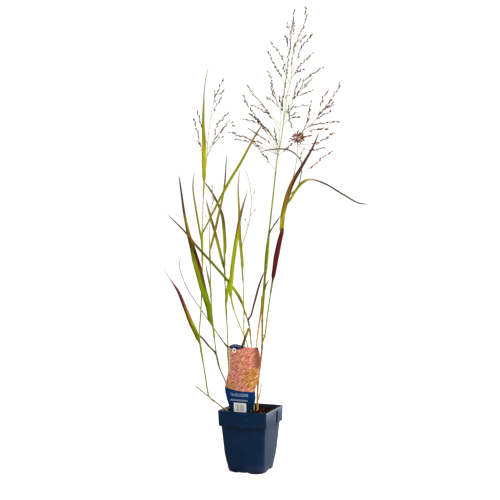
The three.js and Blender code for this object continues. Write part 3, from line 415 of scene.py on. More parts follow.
def soil_height(x, y):
    """Height of the soil over a place: its level plus sine ripples, each of an amplitude in
    proportion to its length."""
    along = x[..., None] * np.cos(ripple_angle) + y[..., None] * np.sin(ripple_angle)
    ripples = ripple_length * np.sin(2 * math.pi * along / ripple_length + ripple_start)
    return SOIL_TOP + RIPPLE_RISE * ripples.sum(-1)


def gather(parts):
    """Several (points, faces, colours) as one: each part's faces count on from the last."""
    counts = np.cumsum([0] + [len(points) for points, _, _ in parts])
    faces = [f for start, part in zip(counts, parts) for f in (np.asarray(part[1]) + start).tolist()]
    return np.vstack([part[0] for part in parts]), faces, np.vstack([part[2] for part in parts])


def tint(piece, colours):
    """Writes one colour for each point as the attribute that the finish reads."""
    held = piece.data.color_attributes.new("tint", "FLOAT_COLOR", "POINT")
    held.data.foreach_set("color", linear(colours).astype(np.float32).ravel())


def bead(sides, profile):
    """A small closed form about the z axis: for each (radius, height) of its profile a ring of
    points, with a pole under the first and over the last. All faces are triangles."""
    angle = np.arange(sides) * 2 * math.pi / sides
    radius, height = np.array(profile).T[:, :, None]
    rings = np.stack([radius * np.cos(angle), radius * np.sin(angle), height + 0 * angle], -1)
    quads = grid_faces(len(profile), sides, True)
    last = len(profile) * sides
    j = np.arange(sides)
    k = (j + 1) % sides
    foot = np.stack([k, j, j * 0 + last], -1)
    top = np.stack([j + last - sides, k + last - sides, j * 0 + last + 1], -1)
    points = np.vstack([rings.reshape(-1, 3), [[0, 0, 0], [0, 0, 1]]])
    return points, np.vstack([quads[:, :3], quads[:, [0, 2, 3]], foot, top])


def upright(frames):
    """Frames of three square directions, mirrored where needed to be plain turns."""
    return frames * np.sign(np.linalg.det(frames))[:, None, None]


def any_way_up(count):
    """As many turns in space as asked, each drawn at random."""
    return upright(np.linalg.qr(chance.normal(size=(count, 3, 3)))[0])


def scattered(form, scales, spots, turns, colours):
    """Copies of a bead, each stretched by its scales, turned and put at its spot."""
    form_points, form_faces = form
    count, size = len(spots), len(form_points)
    stretched = form_points * scales[:, None, :]
    points = np.einsum("nij,npj->npi", turns, stretched) + spots[:, None, :]
    faces = form_faces[None] + (np.arange(count) * size)[:, None, None]
    return points.reshape(-1, 3), faces.reshape(-1, 3), np.repeat(colours, size, axis=0)


def on_soil(count, lift):
    """Spots on the soil's surface, raised by lift."""
    x, y = chance.uniform(-SOIL_REACH, SOIL_REACH, (2, count))
    return np.stack([x, y, soil_height(x, y) + lift], -1)


peat, shade = finish_of("peat_compost")
place = shade.place()
grit, damp = shade.noise(place, 1400, 4), shade.noise(place, 60, 3)
colour = shade.layered(shade.own_tint(), (grit.ramp(0.4, 0.6) * 0.8, (16, 9, 7)))
rough = shade.bumps(0.7, 0.0012, grit + damp)
shade.surface(colour, 0.98 - damp.ramp(0.5, 0.75) * 0.3, 0, Normal=rough)

shares = np.linspace(1, SOIL_HUB, SOIL_RINGS)[:, None, None] * [1, 1, 0] + [0, 0, 1]
top = rounded_squares(SOIL_SIDES[-1:], SOIL_STEPS) * shares
top[..., 2] = soil_height(top[..., 0], top[..., 1])
points, faces = loft(np.concatenate([rounded_squares(SOIL_SIDES, SOIL_STEPS), top]))
bed = (points, faces, np.tile(SOIL_TINT, (len(points), 1)))
points, faces = bead(CRUMB_SIDES, CRUMB_FORM)
crumb = ((points - [0, 0, 0.5]) * [1, 1, 1.6], faces)
sizes = chance.lognormal(*CRUMB_SIZE, (CRUMBS, 1)) * chance.uniform(*CRUMB_STRETCH, (CRUMBS, 3))
kinds = CRUMB_TINTS[chance.choice(len(CRUMB_TINTS), CRUMBS, p=CRUMB_SHARES)]
crumbs = scattered(crumb, sizes, on_soil(CRUMBS, CRUMB_LIFT), any_way_up(CRUMBS), kinds)
sizes = np.stack([chance.uniform(*size, CHIPS) for size in CHIP_SIZES], -1)
kinds = CRUMB_TINTS[chance.choice(BARK_KINDS, CHIPS)]
chips = scattered(crumb, sizes, on_soil(CHIPS, CHIP_LIFT), any_way_up(CHIPS), kinds)
sizes = np.tile([STRAW_WIDTH, 1, STRAW_THICKNESS], (STRAWS, 1))
sizes[:, 1] = chance.uniform(*STRAW_LENGTHS, STRAWS)
# The straws' long sides are laid nearly level.
lying = upright(np.linalg.qr(any_way_up(STRAWS) * [[[1, 1, 1], [1, 1, 1], [0.2, 0.2, 1]]])[0])
kinds = np.tile(STRAW_TINT, (STRAWS, 1))
straws = scattered(crumb, sizes, on_soil(STRAWS, STRAW_LIFT), lying, kinds)
points, faces, colours = gather([bed, crumbs, chips, straws])
soil = mesh_object("compost", points, faces, peat)
tint(soil, colours)
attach(soil, "root")
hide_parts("soil")

# ---------------------------------------------------------------- label
# The stake card: one thin sheet of printed plastic, pointed at the foot, pushed into the soil
# at the front and bowed a little forward. A paper price sticker is stuck on its lower part.
LABEL_Y, LABEL_THICKNESS, LABEL_BULGE, LABEL_CURL, LABEL_REACH, LABEL_FREE = -46, 0.7, 5, 4, 36, 190
# Left and right edge of the card, from the tip up: height, left, right.
LABEL_EDGES = np.array([
    [98, -4, 2], [110, -14, 7], [124, -22, 12], [143, -32, 23], [160, -38, 28], [178, -42, 27.5],
    [205, -36, 34.5], [230, -33, 36.6], [252, -33, 36.4], [267, -33, 33],
])
# How far the top edge lies over the highest level, at even steps from the left.
LABEL_TOP = [0, 4.2, 6.2, 6.4, 5.2, 3.2, 1.6, 0.8, 0.6, 0.7, 0.4]
LABEL_ROWS, LABEL_COLUMNS, LABEL_EDGE_STEPS, LABEL_EDGE_ANGLE = 110, 60, 400, 50
STICKER_X, STICKER_Z, STICKER_LIFT = (-20.2, 7.6, 24), (129.6, 149.6, 16), 0.12
PICTURE_SLANT = math.radians(36)
CURVE_STEPS = 24


def between(x, stops, rows):
    """Rows of numbers at each x, even between those given at the stops."""
    return np.stack([np.interp(x, stops, column) for column in np.transpose(rows)], -1)


def lengths(points):
    """The distances between neighbouring points."""
    return np.linalg.norm(np.diff(np.asarray(points)[:, :3], axis=0), axis=1)


def smooth_path(knots, count):
    """Evenly spaced points on the centripetal Catmull-Rom curve through the knots: on each span
    a cubic whose end slopes weigh the chords by the square roots of their lengths. Columns
    after the third, such as a width, go along with the place."""
    p = np.asarray(knots, float)
    p = np.vstack([2 * p[0] - p[1], p, 2 * p[-1] - p[-2]])
    root = np.sqrt(lengths(p))[:, None]
    a, b, c = root[:-2], root[1:-1], root[2:]
    p0, p1, p2, p3 = p[:-3], p[1:-2], p[2:-1], p[3:]
    leave = (p1 - p0) / a * b - (p2 - p0) / (a + b) * b + p2 - p1
    arrive = p2 - p1 - (p3 - p1) / (b + c) * b + (p3 - p2) / c * b
    t = np.linspace(0, 1, CURVE_STEPS, endpoint=False)[None, :, None]
    p1, p2, leave, arrive = (v[:, None, :] for v in (p1, p2, leave, arrive))
    bend = 3 * (p2 - p1) - 2 * leave - arrive
    twist = 2 * (p1 - p2) + leave + arrive
    dense = (p1 + t * (leave + t * (bend + t * twist))).reshape(-1, p.shape[1])
    dense = np.vstack([dense, p[-2]])
    run = np.concatenate([[0], np.cumsum(lengths(dense))])
    return between(np.linspace(0, run[-1], count), run, dense)


def ease(x, low, high):
    """0 up to low, 1 from high on, and a smooth step between."""
    t = np.clip((x - low) / (high - low), 0, 1)
    return t * t * (3 - 2 * t)


def card_y(x, z):
    """How far back the card stands: bowed forward in its middle and curled back at its right
    edge, both growing from the soil up."""
    off = x / LABEL_REACH
    free = ease(z, SOIL_TOP, LABEL_FREE)
    bow = LABEL_BULGE * (1 - off**2) - LABEL_CURL * np.maximum(0, off) ** 3
    return LABEL_Y - free * bow


def folded(x, z, lift, thickness):
    """A sheet that follows the card at a lift in front of it: the front row of points runs left
    to right and the back row returns, at every height."""
    front = np.stack([x, card_y(x, z) - lift - thickness / 2, z], -1)
    back = np.stack([x, card_y(x, z) - lift + thickness / 2, z], -1)[:, ::-1]
    return loft(np.concatenate([front, back], axis=1))


card, shade = finish_of("printed_card")
place = shade.place()
x, y, z = (part * 1000 for part in shade.parts(place))
# The picture: slanting streaks and dashes of seed heads over blooms, with an ochre glow, and painted
# shade along the card's upper right edge.
along = x * math.cos(PICTURE_SLANT) + z * math.sin(PICTURE_SLANT)
over = z * math.cos(PICTURE_SLANT) - x * math.sin(PICTURE_SLANT)
streak = shade.flat_noise(along * 0.08, over * 0.54, 3)
dash = shade.flat_noise(along * 0.2, over * 0.84, 2, 3.0)
bloom = shade.noise(place, 55, 2)
ochre = (1 - ((x - 20).squared() * 0.0019 + (z - 203).squared() * 0.0012)).ramp(0.1, 0.8)
low_ochre = (1 - ((x + 28).squared() * 0.005 + (z - 186).squared() * 0.004)).ramp(0.1, 0.8)
stalk = x.ramp(-27.6, -28.6) * z.ramp(211, 217)
corner = (x - 31.6).squared() + (z - 265.5).squared()
picture = shade.layered(
    (216, 144, 112),
    (bloom.ramp(0.4, 0.62), (216, 126, 122)),
    (ochre.larger(low_ochre * 0.55) * 0.9, (182, 132, 16)),
    (streak.ramp(0.52, 0.6) * 0.85, (240, 188, 138)),
    (streak.ramp(0.48, 0.38) * 0.85, (178, 66, 50)),
    (dash.ramp(0.54, 0.62) * 0.8, (118, 38, 32)),
    (stalk * 0.85, (206, 178, 138)),
    (x.beside(-30.2, 0.8, 0.4) * stalk * 0.6, (240, 214, 170)),
    # Painted shade darkens the card's upper right edge.
    (x.ramp(21, 31) * z.ramp(214, 230) * 0.8, (112, 58, 44)),
    (corner.ramp(9, 3), (96, 22, 56)),
)
# The navy field under it, with two plain rules, and the cap over it with an eyelet and a painted
# highlight as an arc along its rim.
left_of = (5 - x).larger(0)
below = (z - (174.6 + left_of.squared() * 0.0034)).ramp(0.3, -0.3)
worn = shade.noise(place, 260, 1).ramp(0.36, 0.5)
rules = z.beside(166.6, 3.3, 2.9) * x.beside(-8, 21, 20.4) * worn
rules = rules.larger(z.beside(155.2, 1.9, 1.5) * x.beside(-8.5, 20, 19.4) * 0.9)
navy = shade.layered((0, 46, 98), (z.ramp(168, 146), (0, 33, 64)), (rules * 0.5, (166, 190, 214)))
cap = (z - (262.4 + (x + 15).squared() * 0.012)).ramp(-0.3, 0.3) * x.ramp(4.6, 3.8)
# The arc is a painted highlight along the cap's rim.
arc = (z - (269.4 - (x + 16).squared() * 0.012)).beside(0, 0.85, 0.45) * x.beside(-16, 14, 12)
cap_colour = shade.layered((10, 26, 66), (arc * 0.7, (150, 164, 190)))
eyelet = ((x + 18.5).squared() + (z - 260).squared()).power(0.5)
# The sticker with its plain bars, and the pale back of the card.
on_sticker = x.beside(-6.3, 13.95, 13.85) * z.beside(139.6, 10.05, 9.95)
bar_inputs = {"W": x * 1.1, "Scale": 1, "Detail": 2}
bars = shade.node("ShaderNodeTexNoise", {"noise_dimensions": "1D"}, bar_inputs).ramp(0.48, 0.52)
bars = bars * x.beside(-6.5, 10.2, 10) * z.beside(139.8, 6.9, 6.6)
sticker_colour = shade.layered((222, 226, 224), (bars * 0.85, (104, 84, 50)))
facing = shade.parts(shade.node("ShaderNodeNewGeometry", output="True Normal"))[1]
back_colour = shade.layered((214, 216, 212), (below, (18, 48, 92)))
colour = shade.layered(
    picture,
    (below, navy),
    (cap, cap_colour),
    (eyelet.ramp(5.3, 4.9), (236, 234, 228)),
    (eyelet.ramp(2.2, 1.8), (52, 48, 56)),
    (on_sticker, sticker_colour),
    (facing.ramp(0.2, 0.4), back_colour),
)
waves = shade.bumps(0.1, 0.0005, shade.noise(place, 70, 2))
shade.surface(colour, 0.5 + on_sticker * 0.25, 0.1, Normal=waves)

v = np.linspace(0, 1, LABEL_ROWS)[:, None]
u = np.linspace(0, 1, LABEL_COLUMNS)[None, :]
crest = LABEL_EDGES[-1, 0] + np.interp(u, np.linspace(0, 1, len(LABEL_TOP)), LABEL_TOP)
z = LABEL_EDGES[0, 0] + v * (crest - LABEL_EDGES[0, 0])
edges = (smooth_path(LABEL_EDGES[:, [0, k]], LABEL_EDGE_STEPS) for k in (1, 2))
left, right = (np.interp(z, edge[:, 0], edge[:, 1]) for edge in edges)
stake = folded(left + u * (right - left), z, 0, LABEL_THICKNESS)
x, z = np.meshgrid(np.linspace(*STICKER_X), np.linspace(*STICKER_Z))
sticker = folded(x, z, LABEL_THICKNESS / 2 + STICKER_LIFT / 2, STICKER_LIFT)
points, faces, _ = gather([(*part, part[0]) for part in (stake, sticker)])
label = mesh_object("stake_card", points, faces, card)
label.data.set_sharp_from_angle(angle=math.radians(LABEL_EDGE_ANGLE))
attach(label, "root")
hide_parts("plant_label")

# ---------------------------------------------------------------- culms
# The reed-like stems: hollow grass culms that rise from the soil, with a slightly swollen, dark
# node under each sheath. Old stems end in pale cut stubs.
PLANT_TURN = 21.1
CULM_SIDES, CULM_STEP, CULM_LEAST = 14, 3.5, 5
NODE_SWELL, NODE_HALF, NODE_DARK = 0.3, 2.4, 0.62
# The hollow's dark tint is painted shade inside the cut stem.
NODE_TINT, PITH_TINT, HOLLOW_SHADE_TINT = np.array([92, 66, 38]), (222, 204, 160), (96, 74, 48)
# A stub's cut end: how far it lies under the tip, and its radius as a share of the tip's.
CUT_DEPTHS, CUT_SHARES = np.array([[0], [0.02], [0.7]]), [0.9, 0.55, 0.45]
# Each path starts in the soil; the radius falls evenly from base to tip. Tints are given by
# height, nodes by their heights. A stub is its radius, its tip's radius, its colour and its
# path from the culm out.
CULMS = {
    "a": {
        "radii": (1.8, 1.15),
        "path": [
            [-28, -12, 92], [-35, -12, 110], [-49, -12, 125], [-70, -11.5, 142], [-89, -11, 157],
            [-93, -10, 172], [-98, -8, 204], [-108, -4, 263], [-111, -1, 292], [-108, 1, 334],
            [-105, 5, 426], [-105, 8, 512], [-102, 8, 601], [-101, 8, 621],
        ],
        "nodes": [150, 238, 330, 444, 481, 511, 589, 614],
        "tints": [
            (120, (176, 150, 104)), (140, (156, 140, 90)), (165, (106, 114, 50)), (230, (110, 118, 42)),
            (262, (122, 130, 34)), (300, (136, 140, 34)), (470, (156, 156, 30)), (510, (174, 172, 90)),
            (560, (182, 174, 134)), (600, (150, 140, 108)), (621, (158, 158, 40)),
        ],
        "stubs": [(1.5, 1.5, (140, 128, 94), [[-88, -11, 156], [-103, -12.5, 168], [-117, -14, 180]])],
    },
    "b": {
        "radii": (1.7, 0.95),
        "path": [
            [-19, -3, 92], [-30, -3, 125], [-56, 0, 191], [-69, 1, 222], [-79, 4, 283], [-86, 9, 363],
            [-88, 13, 426], [-90, 16, 495],
        ],
        "nodes": [168, 217, 287, 361, 442],
        "tints": [
            (124, (132, 112, 84)), (215, (104, 106, 56)), (290, (116, 120, 36)), (335, (112, 128, 12)),
            (380, (124, 126, 36)), (440, (104, 112, 10)), (495, (138, 132, 50)),
        ],
    },
    "c": {
        "radii": (1.6, 1.15),
        "path": [
            [-36, 13, 92], [-41, 14, 122], [-49, 20, 217], [-50, 23, 265], [-56, 29, 384], [-58, 32, 460],
        ],
        "nodes": [160, 232, 324, 400, 434],
        "tints": [
            (124, (124, 116, 52)), (250, (112, 120, 54)), (340, (134, 138, 36)), (460, (136, 144, 30)),
        ],
    },
    "d": {
        "radii": (1.6, 1.2),
        "path": [[8, -2, 92], [7, -3, 124], [1, -6, 263], [-4, -8, 311], [-13, -9, 340], [-17, -10, 352]],
        "nodes": [190, 274, 294, 326],
        "tints": [
            (124, (130, 114, 50)), (250, (122, 122, 30)), (320, (132, 136, 14)), (352, (126, 134, 8)),
        ],
    },
    "e": {
        "radii": (2.35, 1.6),
        "path": [
            [13, 3, 92], [14, 3, 123], [15, 4, 178], [24, 7, 258], [25, 10, 326], [29, 12, 393],
            [35, 14, 470], [45, 18, 558], [54, 21, 640],
        ],
        "nodes": [185, 262, 318, 401, 494, 640],
        "tints": [
            (124, (172, 122, 62)), (170, (150, 102, 46)), (222, (140, 94, 38)), (262, (132, 96, 28)),
            (300, (126, 90, 22)), (330, (132, 108, 24)), (385, (122, 112, 20)), (400, (102, 98, 12)),
            (430, (116, 118, 6)), (485, (120, 126, 4)), (498, (88, 84, 20)), (510, (118, 122, 12)),
            (570, (130, 134, 24)), (640, (132, 142, 20)),
        ],
        "stubs": [
            (1.3, 1.3, (176, 152, 108), [[14.5, 4, 144], [18, 3, 155], [23, 1, 184]]),
            (0.7, 0.7, (176, 152, 108), [[25, 8, 288], [31, 5, 286], [37, 3, 281]]),
            (3.1, 2.4, (118, 112, 16), [[27.6, 11.4, 366], [29.2, 12.1, 396], [31.7, 12.9, 428]]),
            (2.8, 0.7, (98, 94, 16), [[29, 12, 384], [33, 9, 396], [38, 6, 407]]),
        ],
    },
    "f": {
        "radii": (1.5, 0.95),
        "path": [
            [-3, 10, 92], [-4, 10, 123], [-15, 14, 291], [-15, 16, 319], [-16, 19, 384], [-20, 22, 454],
            [-19, 23, 482],
        ],
        "nodes": [205, 318, 400],
        "tints": [
            (124, (150, 136, 90)), (300, (154, 150, 84)), (350, (138, 142, 26)), (400, (156, 152, 100)),
            (430, (136, 140, 34)), (482, (140, 146, 24)),
        ],
    },
    "g": {
        "radii": (1.45, 1.1),
        "path": [
            [1, -9, 92], [0, -10, 125], [-6, -16, 263], [-21, -18, 304], [-36, -21, 343], [-45, -23, 386],
        ],
        "nodes": [196, 282, 358],
        "tints": [(124, (136, 124, 40)), (260, (146, 152, 30)), (386, (150, 158, 14))],
    },
}
# The side stem that leaves culm e low down and reaches as high.
SIDE_STEM = {
    "radii": (1.6, 0.95),
    "path": [
        [25, 8, 270], [30, 6, 286], [36, -2, 333], [46, -11, 403], [62, -20, 497], [77, -28, 582],
        [90, -31, 626],
    ],
    "nodes": [378, 470, 519, 552],
    "tints": [
        (270, (138, 108, 36)), (300, (138, 130, 24)), (334, (124, 138, 14)), (385, (110, 128, 38)),
        (440, (128, 138, 24)), (626, (138, 138, 26)),
    ],
}


def slopes(points):
    """Unit directions along a row of points, from each point's two neighbours."""
    rise = np.gradient(points, axis=0)
    return rise / np.linalg.norm(rise, axis=1, keepdims=True)


def square_to(direction, along):
    """The part of a direction that lies square to each of the unit directions, at unit length."""
    rest = direction - (direction * along).sum(-1, keepdims=True) * along
    return rest / np.linalg.norm(rest, axis=-1, keepdims=True)


def tube(path, radii, sides, reference=(1, 0, 0)):
    """Rings round a path: circles of the given radii, each square to the path, all starting
    from the same side."""
    along = slopes(path)
    across = square_to(np.asarray(reference, float), along)
    third = np.cross(along, across)
    angle = np.arange(sides) * 2 * math.pi / sides
    circle = across[:, None] * np.cos(angle)[:, None] + third[:, None] * np.sin(angle)[:, None]
    return path[:, None] + circle * np.reshape(radii, (-1, 1, 1))


def by_height(stops, z):
    """The colour at each height, even between the listed stops."""
    return between(z, *zip(*stops))


def stem_part(path, radii, nodes, tints):
    """A culm: its radius swells by a bell curve at each node, where its tint turns brown."""
    bell = np.exp(-(((path[:, 2:] - np.array(nodes)) / NODE_HALF) ** 2)).sum(-1)
    swollen = radii * (1 + NODE_SWELL * np.minimum(bell, 1))
    dark = NODE_DARK * np.minimum(bell, 1)[:, None]
    colours = by_height(tints, path[:, 2]) * (1 - dark) + NODE_TINT * dark
    points, faces = loft(tube(path, swollen, CULM_SIDES))
    return points, faces, np.repeat(colours, CULM_SIDES, axis=0)


def stub_part(path, radius, tip, dye):
    """A cut stem: a tube whose radius goes evenly from base to tip, and whose end turns in over a pale
    cut edge to a hollow painted dark as shade."""
    rings = tube(path, np.linspace(radius, tip, len(path)), CULM_SIDES)
    middles = path[-1] - slopes(path)[-1] * CUT_DEPTHS
    ends = [middle + (rings[-1] - path[-1]) * share for middle, share in zip(middles, CUT_SHARES)]
    tints = np.vstack([np.tile(dye, (len(path), 1)), PITH_TINT, PITH_TINT, HOLLOW_SHADE_TINT])
    points, faces = loft(np.concatenate([rings, ends]))
    return points, faces, np.repeat(tints, CULM_SIDES, axis=0)


def fine_path(knots):
    """The knots' smooth path in short even steps."""
    return smooth_path(knots, max(CULM_LEAST, round(lengths(knots).sum() / CULM_STEP)))


def rooted(axis, knots):
    """A side path whose first knot is moved onto the axis of its stem, at the same height."""
    return [between(knots[0][2], axis[:, 2], axis), *knots[1:]]


reed, shade = finish_of("reed_stem")
place = shade.place()
fibres, spots = shade.drawn_noise(place, 1300, 22, 3), shade.noise(place, 190, 4)
colour = shade.layered(
    shade.own_tint(),
    (fibres.ramp(0.45, 0.7) * 0.2, (176, 168, 50)),
    (fibres.ramp(0.5, 0.3) * 0.25, (84, 74, 20)),
    (spots.ramp(0.62, 0.76) * 0.4, (96, 62, 34)),
)
ridges = shade.bumps(0.35, 0.0003, fibres)
shade.surface(colour, 0.5 + spots * 0.25, 0.06, Normal=ridges)

axes = {}
for name, culm in {**CULMS, "side": SIDE_STEM}.items():
    knots = rooted(axes["e"][0], culm["path"]) if name == "side" else culm["path"]
    path = fine_path(knots)
    axes[name] = path, np.linspace(*culm["radii"], len(path))

for name, culm in CULMS.items():
    path, radii = axes[name]
    parts = [stem_part(path, radii, culm["nodes"], culm["tints"])]
    for radius, tip, dye, knots in culm.get("stubs", []):
        parts.append(stub_part(fine_path(rooted(path, knots)), radius, tip, dye))
    if name == "e":
        parts.append(stem_part(*axes["side"], SIDE_STEM["nodes"], SIDE_STEM["tints"]))
    points, faces, colours = gather(parts)
    stem = mesh_object("stem_" + name, turned(points, PLANT_TURN), faces, reed)
    tint(stem, colours)
    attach(stem, "root")
    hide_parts("culm_" + name)

# ---------------------------------------------------------------- leaves
# Strap leaves: each holds its culm with an open sheath and opens at the collar into a thin,
# ribbed, slightly troughed blade with a folded midrib. They turn from green over yellow and
# amber to crimson and brown from their edges and tips.
BLADE_STEP, BLADE_COLUMNS, SHEATH_ROWS = 3.2, 11, 9
SHEATH_HALF_ANGLE, BLADE_HALF_ANGLE, OPENING = 2.25, 0.45, 16
# A sheath's play round the culm, and where on its sine a loose one starts to stand off.
SHEATH_PLAY, LOOSE_FROM = 0.4, 0.15
# A blade's thickness at foot and tip and the share that its edges lose; what is added to its
# given width, its least width and the share that its tip loses.
THICK_FOOT, THICK_TIP, EDGE_THINS = 0.42, 0.2, 0.45
WIDTH_PLUS, WIDTH_LEAST, TIP_NARROWS = 0.3, 0.8, 0.8
WAVE_SHARE, WAVE_LENGTH, WAVE_OFFSET, WAVY_FROM, WAVY_AT = 0.018, 8.5, 1.9, 0.02, 0.25
CREASE_SHARE, CREASE_WIDTH = 0.03, 0.16
SEAM_HALF, LEAF_EDGE_ANGLE = 0.25, 60
FRESH, GRASS, OLIVE, MOSS = (152, 166, 14), (116, 138, 4), (130, 132, 8), (84, 88, 14)
YELLOW, AMBER, STRAW, TAN = (166, 164, 4), (176, 132, 36), (204, 156, 76), (140, 122, 76)
BRONZE, COPPER, BROWN, DARK = (132, 108, 26), (128, 80, 38), (94, 60, 24), (46, 28, 20)
ROSE, CRIMSON, MAROON, WINE = (116, 34, 54), (88, 2, 26), (76, 16, 14), (80, 46, 44)
PURPLE, GREY, SAGE = (88, 38, 58), (164, 158, 150), (112, 122, 80)
